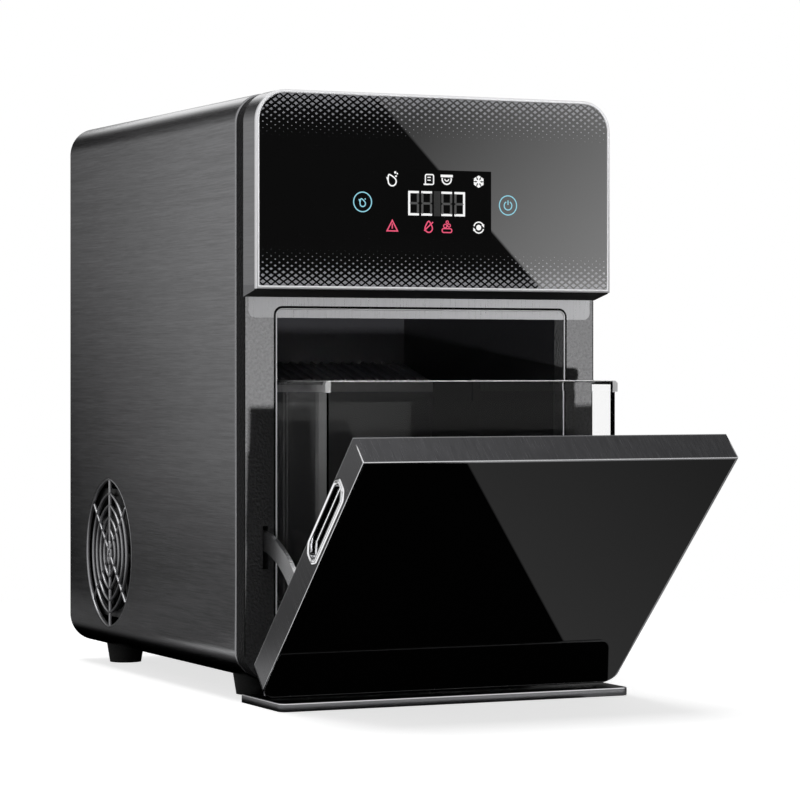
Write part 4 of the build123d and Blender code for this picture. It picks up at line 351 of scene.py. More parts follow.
# The same brushed sheet as the wrapper, painted a shade lighter where it stands forward in the
# light: painted light.
header_steel = brushed("brushed black steel, header", "#7d7d7f", 0.22, (0.7, 30, 0.7))
paint(header_steel, "header_housing")
bezel_section = [(0, -21), (0, -23.3), (0.2, -23.8), (0.7, -24),
                 (1.9, -24), (2.35, -23.9), (2.5, -23.6), (2.5, -21)]
bezel = hoop("header_bezel_ring", (-HEADER_HALF, HEADER_LOW), (HEADER_HALF, CABINET_HIGH),
             (SHARP_CORNER, SHARP_CORNER, CORNER, CORNER), bezel_section, 16)
# Anodising scatters light evenly, so the bezel is a clean pale line all round.
anodised = finish_of("satin anodised silver", "#eaeaec", 1.0, 0.3)[0]
placed(bezel, "cabinet", anodised, "trim_silver", "header_bezel")

# Glass mirrors the studio crisply over dead black; the print shows as grey diamonds, 6.25 x 4.45 mm
# apart with one between each four, whose half width grows from nothing to a third of a cell.
CELLS_PER_METRE = (160, 160, 224.72)
LARGEST, SOFT_EDGE = 0.35, 0.015
glass, tree, _ = finish_of("black printed glass", "#050505", 0.0, 0.0, IOR=1.5)
place = add(tree, "TexCoord").outputs["Object"]
cell = add(tree, "Mapping", {"Vector": place, "Scale": CELLS_PER_METRE})
cell = add(tree, "VectorMath", {0: cell}, operation="FRACTION")
cell = add(tree, "VectorMath", {0: cell, 1: (0.5, 0.5, 0.5)}, operation="SUBTRACT")
cell = add(tree, "SeparateXYZ", {0: add(tree, "VectorMath", {0: cell}, operation="ABSOLUTE")})
# The distance |x| + |z| from a cell's middle, or 1 less that from its corner, draws diamonds.
from_middle = add(tree, "Math", {0: cell.outputs["X"], 1: cell.outputs["Z"]})
from_corner = add(tree, "Math", {0: 1.0, 1: from_middle}, operation="SUBTRACT")
reach = add(tree, "Math", {0: from_middle, 1: from_corner}, operation="MINIMUM")
z = coordinates(tree)["Z"]
upper, lower = [
    add(tree, "MapRange", {"Value": z, "From Min": start, "From Max": end, "To Max": LARGEST})
    for start, end in ((0.397, 0.4262), (0.3195, 0.295))]
grow = add(tree, "Math", {0: upper, 1: lower}, operation="MAXIMUM")
inside = add(tree, "Math", {0: grow, 1: reach}, operation="SUBTRACT")
printed = add(tree, "MapRange", {
    "Value": inside, "From Min": -SOFT_EDGE, "From Max": SOFT_EDGE})
overlay(glass, printed, "#7a7a7e")
paint(glass, "header_glass")

# Dull black swallows the light, so the header seems to float; its two end faces are bare steel.
under, tree, surface = finish_of("black ABS underside", "#060606", 0.0, 0.6, Specular_IOR_Level=0.1)
facing = add(tree, "SeparateXYZ", {0: add(tree, "NewGeometry").outputs["Normal"]}).outputs["X"]
ends = add(tree, "MapRange", {"Value": add(tree, "Math", {0: facing}, operation="ABSOLUTE"),
                              "From Min": 0.89, "From Max": 0.91})
overlay(under, ends, "#828284")
tree.links.new(ends.outputs[0], surface.inputs["Metallic"])
paint(under, "header_underside")


# ---------------- display and touch marks
# Light-emitting display behind the glass, shown as thin inlays in it: four seven-segment
# digits, small signs above and below them, and a blue touch ring at each side.
PROUD, SUNK = 0.12, 0.3


def stroke(points, width, closed=False):
    """Flat line in X and Z, a little proud of the glass: at each point the outline steps half the
    width to both sides of the mean direction, lengthened by 1 / cos of half the turn."""
    points = np.asarray(points, float)
    if closed:
        before, after = np.roll(points, 1, 0), np.roll(points, -1, 0)
    else:
        before = np.concatenate([2 * points[:1] - points[1:2], points[:-1]])
        after = np.concatenate([points[1:], 2 * points[-1:] - points[-2:-1]])
    first, second = points - before, after - points
    first /= np.linalg.norm(first, axis=1, keepdims=True)
    second /= np.linalg.norm(second, axis=1, keepdims=True)
    mean = first + second
    mean /= np.linalg.norm(mean, axis=1, keepdims=True)
    stretch = 1 / np.maximum(np.sum(mean * first, axis=1, keepdims=True), 0.4)
    off = np.stack([-mean[:, 1], mean[:, 0]], -1) * stretch * width / 2
    front, back = HEADER_GLASS_Y - PROUD, HEADER_GLASS_Y + SUNK
    ring = [upright(points + off, front), upright(points - off, front),
            upright(points - off, back), upright(points + off, back)]
    return np.stack(ring, 1), "round" if closed else "caps"


def plate(points, proud=PROUD):
    """Flat shape in X and Z with the given corners, standing a little proud of the glass."""
    points = np.asarray(points, float)
    return [upright(points, HEADER_GLASS_Y - proud), upright(points, HEADER_GLASS_Y + SUNK)], "caps"


def arc(x, z, radius, start=0.0, end=360.0, steps=32):
    """Points on a circle between two angles in degrees; a full turn leaves out its last point."""
    turn = np.radians(np.linspace(start, end, steps + 1))
    turn = turn[:-1] if end - start == 360.0 else turn
    return np.stack([x + radius * np.cos(turn), z + radius * np.sin(turn)], -1)


def drop(x, z, size, turn=0.0):
    """Water drop: a circle whose upper half is drawn up to a point, by the cube of the sine, and
    gets up to a quarter narrower by it."""
    angle = np.linspace(0, 2 * math.pi, 25)[:-1] + math.pi / 2
    lift = np.maximum(np.sin(angle), 0) ** 3
    across = np.cos(angle) * (1 - 0.25 * lift)
    points = np.stack([across, np.sin(angle) + 0.75 * lift - 0.3], -1) * size / 2
    c, s = math.cos(turn), math.sin(turn)
    return points @ np.array([[c, s], [-s, c]]) + (x, z)


def segment(ax, az, bx, bz, joined, half=0.8):
    """One bar of a digit between two points: a long hexagon with a gap at each, or where joined a
    bar that reaches half its width past both points, so neighbours meet in a square corner."""
    a, b = np.array([ax, az], float), np.array([bx, bz], float)
    along = (b - a) / np.linalg.norm(b - a)
    across = np.array([-along[1], along[0]]) * half
    if joined:
        start, end = a - along * half, b + along * half
        return plate([start + across, end + across, end - across, start - across])
    start, end = a + along * half * 1.15, b - along * half * 1.15
    return plate([a + along * 0.15, start + across, end + across,
                  b - along * 0.15, end - across, start - across])


def lit(name, colour, strength):
    """Light-emitting sign: nearly black in itself, it shows its colour by its own light."""
    material, _, surface = finish_of(name, colour, 0.0, 0.4, Emission_Strength=strength)
    surface.inputs["Emission Color"].default_value = linear(colour)
    surface.inputs["Base Color"].default_value = (0.01, 0.01, 0.01, 1)
    return material


window = skin("display_window", plate(rounded((-43.0, 328.4), (42.6, 376.7), 0.5), 0.05))
# Dull film: the signs stand on a black that mirrors nothing.
display_film = finish_of("matt black display film", "#040404", 0.0, 0.6, Specular_IOR_Level=0.05)[0]
placed(window, "cabinet", display_film, "black_glass")

# Digits: where each stands, and which of its bars are lit.
DIGIT_HALF = 3.4
low, middle, high = 344.9, 352.8, 360.7
white, dim, red, blue = [], [], [], []
for x, bright in ((-18.9, "adef"), (-8.6, "ad"), (7.2, "ad"), (17.5, "abcd")):
    left, right = x - DIGIT_HALF, x + DIGIT_HALF
    bars = {"a": (left, high, right, high), "b": (right, middle, right, high),
            "c": (right, low, right, middle), "d": (left, low, right, low),
            "e": (left, low, left, middle), "f": (left, middle, left, high),
            "g": (left, middle, right, middle)}
    for key, bar_ends in bars.items():
        (white if key in bright else dim).append(segment(*bar_ends, key in bright))
# A drop with three bubbles and a spout; a sheet with two lines; a mould.
white.append(stroke(drop(-36.0, 368.6, 6.2, 0.5), 1.0, True))
white += [plate(arc(x, z, radius, steps=12)) for x, z, radius in (
    (-32.6, 371.6, 0.7), (-33.2, 374.2, 0.9), (-31.6, 373.4, 0.6))]
white.append(stroke([(-38.6, 367.6), (-39.6, 370.2), (-38.2, 369.8)], 0.8))
white += [stroke(rounded((-9.6, 366.4), (-3.2, 373.4), 1.0, 0, 3), 0.9, True),
          stroke([(-11.0, 366.4), (-7.0, 366.4)], 1.1),
          stroke([(-8.0, 371.4), (-5.4, 371.4)], 0.7), stroke([(-8.0, 369.4), (-5.4, 369.4)], 0.7)]
white += [plate([(2.4, 371.8), (12.0, 371.8), (12.0, 373.6), (2.4, 373.6)]),
          stroke(arc(7.2, 370.4, 3.6, 165, 375, 16), 1.0),
          stroke(arc(7.2, 370.6, 1.5, 180, 360, 10), 0.8)]
# A snowflake of six barbed arms.
arm = np.array([(0, 0), (0, 4.3)]), np.array([(-1.3, 3.7), (0, 2.3), (1.3, 3.7)])
for turn in range(6):
    c, s = math.cos(math.pi * turn / 3), math.sin(math.pi * turn / 3)
    white += [stroke(line @ np.array([[c, s], [-s, c]]) + (32.6, 369.3), 1.05) for line in arm]
# Two arrows turning round a ball.
white += [stroke(arc(32.6, 336.4, 3.9, 25, 165, 14), 0.9),
          stroke(arc(32.6, 336.4, 3.9, 205, 345, 14), 0.9), plate(arc(32.6, 336.4, 2.0, steps=20)),
          plate([(36.9, 339.0), (34.9, 338.2), (36.9, 336.4)]),
          plate([(28.3, 333.8), (30.3, 334.6), (28.3, 336.4)])]
# A warning triangle; a drop crossed out; a full bin.
red += [stroke([(-39.6, 332.8), (-31.4, 332.8), (-35.5, 340.2)], 0.9, True),
        stroke([(-35.5, 334.4), (-35.5, 338.0)], 0.9)]
red += [stroke(drop(-7.0, 336.0, 5.8), 0.9, True), stroke([(-10.6, 333.4), (-3.6, 339.6)], 0.9)]
red.append(stroke(rounded((3.6, 332.4), (11.2, 335.2), 1.2, 0, 3), 0.8, True))
red += [stroke(arc(x, z, radius, steps=steps), 0.7, True) for x, z, radius, steps in (
    (6.0, 337.0, 1.3, 14), (9.0, 337.4, 1.1, 14), (7.6, 339.8, 0.9, 12))]
# Touch rings, the left with a drop and the right with an on-off mark.
TOUCH_Z, TOUCH_RADIUS = 352.8, 6.9
blue += [stroke(arc(x, TOUCH_Z, TOUCH_RADIUS, steps=48), 0.75, True) for x in (-58.5, 56.1)]
blue += [stroke(drop(-58.6, 352.2, 4.2, 0.35), 0.75, True),
         stroke([(-60.6, 352.6), (-61.2, 354.4), (-60.0, 354.2)], 0.6),
         plate(arc(-56.5, 354.9, 0.5, steps=10)), stroke(arc(56.1, 352.6, 3.1, 120, 420, 20), 0.75),
         stroke([(56.1, 353.2), (56.1, 356.4)], 0.75)]
# Lit signs glow evenly in their own colour; the unlit bars glow faintly grey with painted light, as
# ghosts.
signs = (("display_white", white, lit("display white", "#f4f4f4", 1.0)),
         ("display_dim", dim, lit("display segment, unlit", "#4c4c4c", 0.6)),
         ("display_red", red, lit("display red", "#e84a70", 1.0)),
         ("display_blue", blue, lit("display blue", "#8ccfe0", 1.0)))
for name, shapes, material in signs:
    placed(skin(name, *shapes), "cabinet", material, "black_glass")
# Smoked film between the digits, a dull box a little lighter than the window.
divider = skin("display_divider", plate(rounded((-2.9, 343.9), (2.2, 361.7), 0.2)))
placed(divider, "cabinet", grained("smoked display film", "#1c1c1c", 0.6, 1.0, 0.01), "black_glass")

# ---------------- door
# Folded black stainless tray, brushed across its edges, with a polished edge line and a black
# tempered glass front. Drawn closed, then turned open about its hinge line.
HINGE_Y, HINGE_Z, OPEN_ANGLE = 14.8, 18.4, math.radians(46.5)
DOOR_HALF, DOOR_LOW, DOOR_HIGH, DOOR_CORNER = 139.3, 42.0, 286.5, 11.0
hinge = Matrix.Translation((0, HINGE_Y / 1000, HINGE_Z / 1000))


def opened(piece):
    """Turns a piece drawn with the door closed by the open angle about the hinge line."""
    piece.data.transform(hinge @ Matrix.Rotation(OPEN_ANGLE, 4, "X") @ hinge.inverted())
    return piece


# Streaks run across the thickness of the tray and catch the light on its folded edges.
door_steel = brushed("brushed black stainless, door", "#545456", 0.25, (0.8, 50, 0.8), OPEN_ANGLE)
# Painted highlights lie along its folds: a bright hairline where side and top meet, a duller one
# along the rear. The point is first turned back to where it is on the closed door.
tree = door_steel.node_tree
shut = hinge @ Matrix.Rotation(-OPEN_ANGLE, 4, "X") @ hinge.inverted()
place = add(tree, "Mapping", {"Vector": add(tree, "TexCoord").outputs["Object"],
                              "Location": shut.to_translation(), "Rotation": (-OPEN_ANGLE, 0, 0)})
x, y, z = add(tree, "SeparateXYZ", {0: place}).outputs
across = add(tree, "Math", {0: x}, operation="ABSOLUTE")
at_side, at_top, at_rear = [
    add(tree, "MapRange", {"Value": value, "From Min": start, "From Max": end})
    for value, start, end in ((across, 0.1385, 0.1387), (z, 0.2856, 0.2858), (y, -0.0018, -0.0016))]
overlay(door_steel, at_rear, "#9a9a9c")
overlay(door_steel, add(tree, "Math", {0: at_side, 1: at_top}, **product), "#f4f4f6")
paint(door_steel, "door_shell")
trim_section = [(0, -23.2), (0, -23.6), (0.2, -23.9), (0.6, -24),
                (1.3, -24), (1.6, -23.8), (1.6, -23.2)]
trim = hoop("door_edge_line", (-DOOR_HALF, DOOR_LOW), (DOOR_HALF, DOOR_HIGH),
            (DOOR_CORNER, DOOR_CORNER, SHARP_CORNER, SHARP_CORNER), trim_section, 12)
# The polished edge draws a thin bright line round the glass.
polished_edge = finish_of("polished steel edge", "#cfcfd1", 1.0, 0.2)[0]
placed(opened(trim), "door", polished_edge, "trim_silver", "door_trim")

# Near-black print behind polished glass, which shows only what it mirrors.
door_glass = grained("black printed glass, door", "#020202", 0.0, 5.0, 0.0)
door_glass.node_tree.nodes["Principled BSDF"].inputs["IOR"].default_value = 1.5
paint(door_glass, "door_glass")
# Fine-grained black moulding round the ice bin, just light enough to show its corners.
paint(grained("satin black liner", "#323235", 0.4, 1.4, 0.04), "door_inner_panel", "bulkhead",
      "liner_wall_left", "liner_wall_right", "liner_floor", "chamber_rear", "chamber_top")
# The ramp is painted pale grey as painted light, so its ribs catch what little light falls in.
paint(grained("satin black ramp", "#a8a8aa", 0.35, 1.4, 0.03), "ice_ramp")

# ---------------- handles
# A finger pocket in each side of the door: a black moulded cup with a step part of the way down,
# and a chrome-plated frame, broad towards the glass and thin behind, clipped over its mouth.
POCKET_Y, POCKET_Z, POCKET_HALF_WIDTH, POCKET_HALF_LENGTH = -11.15, 214.3, 8.0, 36.0
CUT_ACROSS, CUT_ALONG, SOFTENED = 4.5, 6, 1.6


def pocket(front, front_rise, rear, rear_rise, side, steps=4):
    """Upright rectangle with cut corners. Its glass side and top are grown by front and stand
    front_rise proud of the door's side, the other two by rear and rear_rise. Each corner P is
    softened by a curve (1-s)^2 A + 2s(1-s) P + s^2 B between points just before and after it."""
    back_y, glass_y = POCKET_HALF_WIDTH + rear, -POCKET_HALF_WIDTH - front
    top, foot = POCKET_HALF_LENGTH + front, -POCKET_HALF_LENGTH - rear
    corners = np.array([
        (back_y, foot + CUT_ALONG), (back_y, top - CUT_ALONG),
        (back_y - CUT_ACROSS, top), (glass_y + CUT_ACROSS, top),
        (glass_y, top - CUT_ALONG), (glass_y, foot + CUT_ALONG),
        (glass_y + CUT_ACROSS, foot), (back_y - CUT_ACROSS, foot)])
    rises = np.array([rear_rise, rear_rise] + [front_rise] * 4 + [rear_rise, rear_rise])
    before, after = np.roll(corners, 1, 0) - corners, np.roll(corners, -1, 0) - corners
    before *= SOFTENED / np.linalg.norm(before, axis=1, keepdims=True)
    after *= SOFTENED / np.linalg.norm(after, axis=1, keepdims=True)
    s = np.linspace(0, 1, steps)[None, :, None]
    near, far = (corners + before)[:, None], (corners + after)[:, None]
    soft = (1 - s) ** 2 * near + 2 * s * (1 - s) * corners[:, None] + s ** 2 * far
    return sideways(soft.reshape(-1, 2) + (POCKET_Y, POCKET_Z),
                    side * (DOOR_HALF + np.repeat(rises, steps)))


# Sections of the chrome frame, of the collar inside it and of the step below: front, front_rise,
# rear and rear_rise of each outline.
handle_sections = {
    "frame": [(2.1, 0.1, 0.9, 0.1), (2.1, 0.15, 0.9, 0.6), (1.3, 0.95, 0.6, 0.95),
              (1.0, 1.0, 0.5, 1.0), (0.6, 0.9, 0.4, 1.0), (0.3, 0.45, 0.35, 1.0),
              (-0.2, 0.95, 0.3, 1.0), (-0.5, 1.0, 0.2, 0.95), (-1.1, 1.0, -0.4, 0.35),
              (-1.4, 0.7, -0.55, 0.2), (-1.4, 0.1, -0.55, 0.1)],
    "collar": [(-1.35, 0.1, -1.35, 0.1), (-1.55, 0.1, -1.55, 0.1),
               (-1.7, -3.5, -1.7, -3.5), (-1.45, -3.5, -1.45, -3.5)],
    "step": [(-1.5, -3.9, -1.5, -3.9), (-2.0, -3.6, -2.0, -3.6), (-2.6, -3.9, -2.6, -3.9),
             (-2.7, -4.5, -2.7, -4.5), (-1.5, -4.2, -1.5, -4.2)]}
# Section of the cup, from its back round its mouth to its floor: how far outside the pocket's
# outline, and how proud of the door's side.
cup_section = [(0, -13.9), (0, 0.02), (2.1, 0.02), (2.1, 0.2),
               (-1.45, 0.2), (-1.5, -4.0), (-2.9, -4.4), (-3.6, -12.4)]
# Chrome mirrors sharply, so the frame shows as hard bright and black lines.
handle_chrome = grained("plated chrome, handle", "#f2f2f4", 0.08, 6.0, 0.004, 1.0, 0.02)
# Shiny black plastic, in which only glints show how deep the cup is.
cup_black = grained("gloss black ABS cup", "#0a0a0b", 0.15, 3.0, 0.01)
for side, side_name in ((-1, "left"), (1, "right")):
    for part, section in handle_sections.items():
        outlines = [pocket(*corner, side) for corner in section]
        piece = skin("handle_" + part + "_" + side_name, (outlines, "round"))
        replaced = ["handle_rim_" + side_name] if part == "frame" else []
        placed(opened(piece), "door", handle_chrome, "handle_chrome", *replaced)
    outlines = [pocket(grow, rise, grow, rise, side) for grow, rise in cup_section]
    cup = skin("handle_pocket_" + side_name, (outlines, "caps"))
    placed(opened(cup), "door", cup_black, "handle_cup_black", "handle_cup_" + side_name)

# ---------------- hinge and stay arms
# Zinc-plated pressed steel ears, pins and brackets, screwed to the frame and the door; the stay
# arms are bent from bright steel strip and slide through slots in the frame.

# Zinc plating gives a cloudy pale grey that mirrors only broad light.
zinc = grained("zinc-plated steel", "#a6a7a8", 0.35, 3.0, 0.01, 1.0)
paint(zinc, "hinge_brackets", "hinge_ears", "hinge_pins", "rear_screws")
# Rolled strip is drawn along its length, so fine lines follow the arm and its edge shines.
stay_steel = brushed("bright steel strip", "#cacacc", 0.28, (5, 0.3, 0.3), streak=0.05)
paint(stay_steel, "stay_arms")


# ---------------- base plate and feet
# Flat steel foot with rounded edges, lacquered gloss black on top and welded to a riser that runs
# back under the cabinet. Four moulded rubber feet.
def level(points, z):
    """Outline in X and Y set at height z."""
    return np.insert(points, 2, z, axis=1)


FOOT_HALF, FOOT_FRONT, FOOT_REAR, FOOT_CORNER, FOOT_TOP = 136, -60, 12, 6, 6.0
RISER_HALF, RISER_FRONT, RISER_TOP = 60, 2, 16.2
TONGUE_REAR, TONGUE_LOW, TONGUE_HIGH = 40, 12.2, 15.2
plate_section = [(0.6, 0), (0.15, 0.15), (0, 0.6), (0, 5.1), (0.35, 5.75), (1.2, FOOT_TOP)]
plate_outlines = [
    level(rounded((-FOOT_HALF, FOOT_FRONT), (FOOT_HALF, FOOT_REAR),
                  (FOOT_CORNER, FOOT_CORNER, 0.5, 0.5), inset), z) for inset, z in plate_section]
riser = rounded((-RISER_HALF, RISER_FRONT), (RISER_HALF, FOOT_REAR), 0, 0, 1)
tongue = rounded((-RISER_HALF, RISER_FRONT), (RISER_HALF, TONGUE_REAR), 0, 0, 1)
base = skin("base_foot", (plate_outlines, "caps"),
            ([level(riser, z) for z in (FOOT_TOP, RISER_TOP)], "caps"),
            ([level(tongue, z) for z in (TONGUE_LOW, TONGUE_HIGH)], "caps"))
# Dark sides, a painted highlight along the rounded top edge, and a top that vanishes into black.
foot_steel = brushed("brushed steel foot, top lacquered black", "#6c6c6e", 0.3, (60, 60, 0.8))
tree = foot_steel.node_tree
z = coordinates(tree)["Z"]
top_edge_highlight = add(tree, "MapRange", {"Value": z, "From Min": 0.00510, "From Max": 0.00520})
lacquered_top = add(tree, "MapRange", {"Value": z, "From Min": 0.00590, "From Max": 0.00595})
overlay(foot_steel, top_edge_highlight, "#e0e0e2")
overlay(foot_steel, lacquered_top, "#040404")
placed(base, "cabinet", foot_steel, "black_gloss", "base_plate")
# Dull and a little dusty: dark grey, never black, with no highlight.
paint(grained("moulded rubber", "#141414", 0.75, 0.8, 0.05), "feet")

# ---------------- ice bin
# Injection-moulded clear acrylic basket with a thicker rim. It slides forward on two rails with
# the door and lifts out by hand.

# Thin walls nearly vanish, and an IOR of 1.2 keeps them from bending what is seen through them. The
# moulded top edge and the front ends of the rim are painted as pale lines of highlight.
acrylic, tree, surface = finish_of("clear acrylic", "#ffffff", 0.0, 0.0, IOR=1.2)
x, y, z = coordinates(tree)
clear = add(tree, "MapRange", {
    "Value": z, "From Min": 0.2264, "From Max": 0.2266, "To Min": 1.0, "To Max": 0.35})
across = add(tree, "Math", {0: x}, operation="ABSOLUTE")
at_side, in_rim, at_front = [
    add(tree, "MapRange", {"Value": value, "From Min": start, "From Max": end})
    for value, start, end in ((across, 0.1088, 0.1092), (z, 0.2187, 0.2189), (y, -0.0790, -0.0792))]
rim_end_highlight = add(tree, "Math", {0: at_side, 1: in_rim}, **product)
rim_end_highlight = add(tree, "Math", {0: rim_end_highlight, 1: at_front}, **product)
rim_end_highlight = add(tree, "MapRange", {"Value": rim_end_highlight, "To Min": 1.0, "To Max": 0.65})
clear = add(tree, "Math", {0: clear, 1: rim_end_highlight}, operation="MINIMUM")
tree.links.new(clear.outputs[0], surface.inputs["Transmission Weight"])
paint(acrylic, "ice_bin")

# ---------------- moulds and their drive
# A moulded lower tray that tips the balls out, under a cast aluminium upper mould that the coil
# chills; acetal gears turn the tray. The water parts are moulded in the same white plastic.

# Slightly waxy moulding, a cool grey with a broad soft sheen.
paint(grained("food-grade grey polypropylene", "#8d939b", 0.45, 1.5, 0.03), "lower_mould")
# The casting's skin is pale, dull and finely pitted.
paint(grained("cast aluminium", "#b9babc", 0.45, 1.2, 0.05, 1.0), "upper_mould")
# Acetal looks like dense ivory-white wax.
paint(grained("white acetal", "#d2d2cd", 0.4, 1.5, 0.02), "tray_gear", "motor_pinion", "gear_motor",
      "water_tank", "water_pump", "water_manifold")

# ---------------- cooling works
# Brazed copper pipe, a welded and enamelled steel compressor, a condenser of pressed aluminium
# fins, and a moulded fan in its shroud behind the side vent.

# Drawn pipe, warm and bright with long soft highlights.
paint(grained("bright copper pipe", "#c88a64", 0.25, 6.0, 0.01, 1.0), "evaporator_coil",
      "refrigerant_lines", "filter_drier")
# Thick enamel over a pressed can: black with a wavy gloss.
paint(grained("gloss black enamel", "#0d0d0d", 0.25, 2.5, 0.03), "compressor")
# The close fins read as fine upright streaks of light and dark.
paint(brushed("mill aluminium fins", "#b2b3b5", 0.4, (0.9, 20, 0.9)), "condenser")
# Half-dull black, so only the edges of the blades show behind the vent.
paint(grained("black moulded fan", "#111112", 0.4, 1.2, 0.02), "fan_shroud", "fan_motor",
      "fan_blade")
# Silicone is milky in any thickness: grey-white with a greasy sheen.
paint(grained("clear silicone hose", "#b9b9b4", 0.35, 4.0, 0.01), "water_hose")

# ---------------- rear panel and electrics
# Powder-coated steel back with pressed louvres and a pan below, a moulded appliance inlet, and the
# drain with its pull-out plug. Circuit boards are screwed up inside and behind the header.

# Powder coat has a fine orange-peel texture that breaks up every highlight.
paint(grained("black powder coat", "#1b1b1c", 0.5, 0.7, 0.05), "rear_panel", "base_pan")
# Moulded fittings, a deeper and slightly shinier black than the panel.
paint(grained("black ABS fittings", "#0f0f10", 0.35, 1.0, 0.03), "power_inlet", "drain_outlet")
# Soft and dull, a shade greyer than the outlet it sits in.
paint(grained("black rubber plug", "#151515", 0.7, 0.8, 0.03), "drain_cap")
# Solder resist: an even glossy green.
paint(grained("green circuit board", "#1d5a36", 0.4, 2.0, 0.01), "display_board", "main_board")


# ---------------- studio
# White paper sweep that fades into a white backdrop. It is seen white, but metals and glass mirror
# dark cards and lights in its place, and dull surfaces get only dim light from it.
def rays(tree):
    """Two masks: rays that see the studio, also through clear plastic, and rays that mirror it.
    Neither holds a ray that has bounced off a dull surface before."""
    ray = add(tree, "LightPath").outputs
    direct = add(tree, "Math", {0: ray["Diffuse Depth"], 1: 0.5}, operation="LESS_THAN")
    through = add(tree, "Math", {0: ray["Is Transmission Ray"], 1: direct}, **product)
    seeing = add(tree, "Math", {0: ray["Is Camera Ray"], 1: through}, operation="MAXIMUM")
    return seeing, add(tree, "Math", {0: ray["Is Glossy Ray"], 1: direct}, **product)


FLOOR_HALF, FLOOR_DEPTH = 6000, 60.0
sweep = rounded((-FLOOR_HALF, -FLOOR_HALF), (FLOOR_HALF, FLOOR_HALF), 0, 0, 1)
floor = skin("studio_floor", ([level(sweep, z) for z in (-FLOOR_DEPTH, 0.0)], "caps"))
pale, tree, surface = finish_of("white sweep", "#f0f0f0", 0.0, 1.0, Specular_IOR_Level=0.0)
place = add(tree, "TexCoord").outputs["Object"]
x, y, z = coordinates(tree)
seeing, mirroring = rays(tree)
# What the metals mirror: dark close to the object, lighter with distance.
away = add(tree, "VectorMath", {0: place, 1: (0.0, 0.1, 0.0)}, operation="DISTANCE")
mirrored = add(tree, "MapRange", {
    "Value": away, "From Min": 0.3, "From Max": 6.0, "To Min": 0.14, "To Max": 0.66})
# White beside the cabinet's left wall, for the foot of the wrapper.
left_of_foot = add(tree, "Math", {
    0: add(tree, "MapRange", {"Value": x, "From Min": -0.17, "From Max": -0.20}),
    1: add(tree, "MapRange", {"Value": y, "From Min": 0.35, "From Max": 0.2})}, **product)
mirrored = add(tree, "Mix", {0: left_of_foot, 2: mirrored, 3: 1.0})
# Under the open door a black card, grey on the right of a slanting line.
slant = add(tree, "VectorMath", {0: place, 1: (0.85, -0.527, 0)}, operation="DOT_PRODUCT")
past_line = add(tree, "MapRange", {"Value": slant, "From Min": 0.1167, "From Max": 0.1183})
grey = add(tree, "MapRange", {
    "Value": slant, "From Min": 0.1175, "From Max": 0.29, "To Min": 0.34, "To Max": 0.2})
card = add(tree, "Math", {0: past_line, 1: grey}, **product)
under_door = add(tree, "Math", {
    0: add(tree, "MapRange", {"Value": x, "From Min": -0.17, "From Max": -0.15}),
    1: add(tree, "MapRange", {"Value": y, "From Min": -0.30, "From Max": -0.26})}, **product)
mirrored = add(tree, "Mix", {0: under_door, 2: mirrored, 3: card})
# What is seen: the sheet with its shadow, lifted by its own light, fading into plain white.
lift = add(tree, "Emission", {"Strength": 0.73})
lifted = add(tree, "AddShader", {0: surface.outputs[0], 1: lift})
fading = add(tree, "MixShader", {
    0: add(tree, "MapRange", {"Value": away, "From Min": 0.4, "From Max": 0.9}),
    1: lifted, 2: add(tree, "Emission", {"Strength": 1.0})})
# Dull surfaces get much less from it.
shaded = add(tree, "BsdfDiffuse", {"Color": linear("#484848")})
look = add(tree, "MixShader", {0: seeing, 1: shaded, 2: fading})
cards = add(tree, "Emission", {"Strength": mirrored})
look = add(tree, "MixShader", {0: mirroring, 1: look, 2: cards})
tree.links.new(look.outputs[0], tree.nodes["Material Output"].inputs["Surface"])
floor.data.materials.append(pale)

# Black gauze behind at the left, seen only in mirrors. It thins out upwards and leftwards, so the
# wrapper's lower rear shades off softly.
FLAG_LEFT, FLAG_RIGHT, FLAG_Y, FLAG_LOW, FLAG_HIGH = -500, 100, 940, 0.5, 620
sheet = rounded((FLAG_LEFT, FLAG_Y), (FLAG_RIGHT, FLAG_Y + 2), 0, 0, 1)
flag = skin("grey_flag", ([level(sheet, z) for z in (FLAG_LOW, FLAG_HIGH)], "caps"))
scrim, tree, surface = finish_of("graded grey scrim", "#000000", 0.0, 1.0, Specular_IOR_Level=0.0)
x, y, z = coordinates(tree)
thick = add(tree, "Math", {
    0: add(tree, "MapRange", {"Value": x, "From Min": -0.50, "From Max": -0.30}),
    1: add(tree, "MapRange", {
        "Value": z, "From Min": 0.15, "From Max": 0.36, "To Min": 0.78, "To Max": 0.5})}, **product)
gauze = add(tree, "MixShader", {0: thick, 1: add(tree, "BsdfTransparent"), 2: surface.outputs[0]})
tree.links.new(gauze.outputs[0], tree.nodes["Material Output"].inputs["Surface"])
flag.data.materials.append(scrim)
flag.visible_camera = flag.visible_diffuse = flag.visible_transmission = flag.visible_shadow = False

world = bpy.data.worlds.new("studio")
world.use_nodes = True
bpy.context.scene.world = world
tree = world.node_tree
seeing, mirroring = rays(tree)
toward = add(tree, "TexCoord").outputs["Generated"]
x, y, z = add(tree, "SeparateXYZ", {0: toward}).outputs
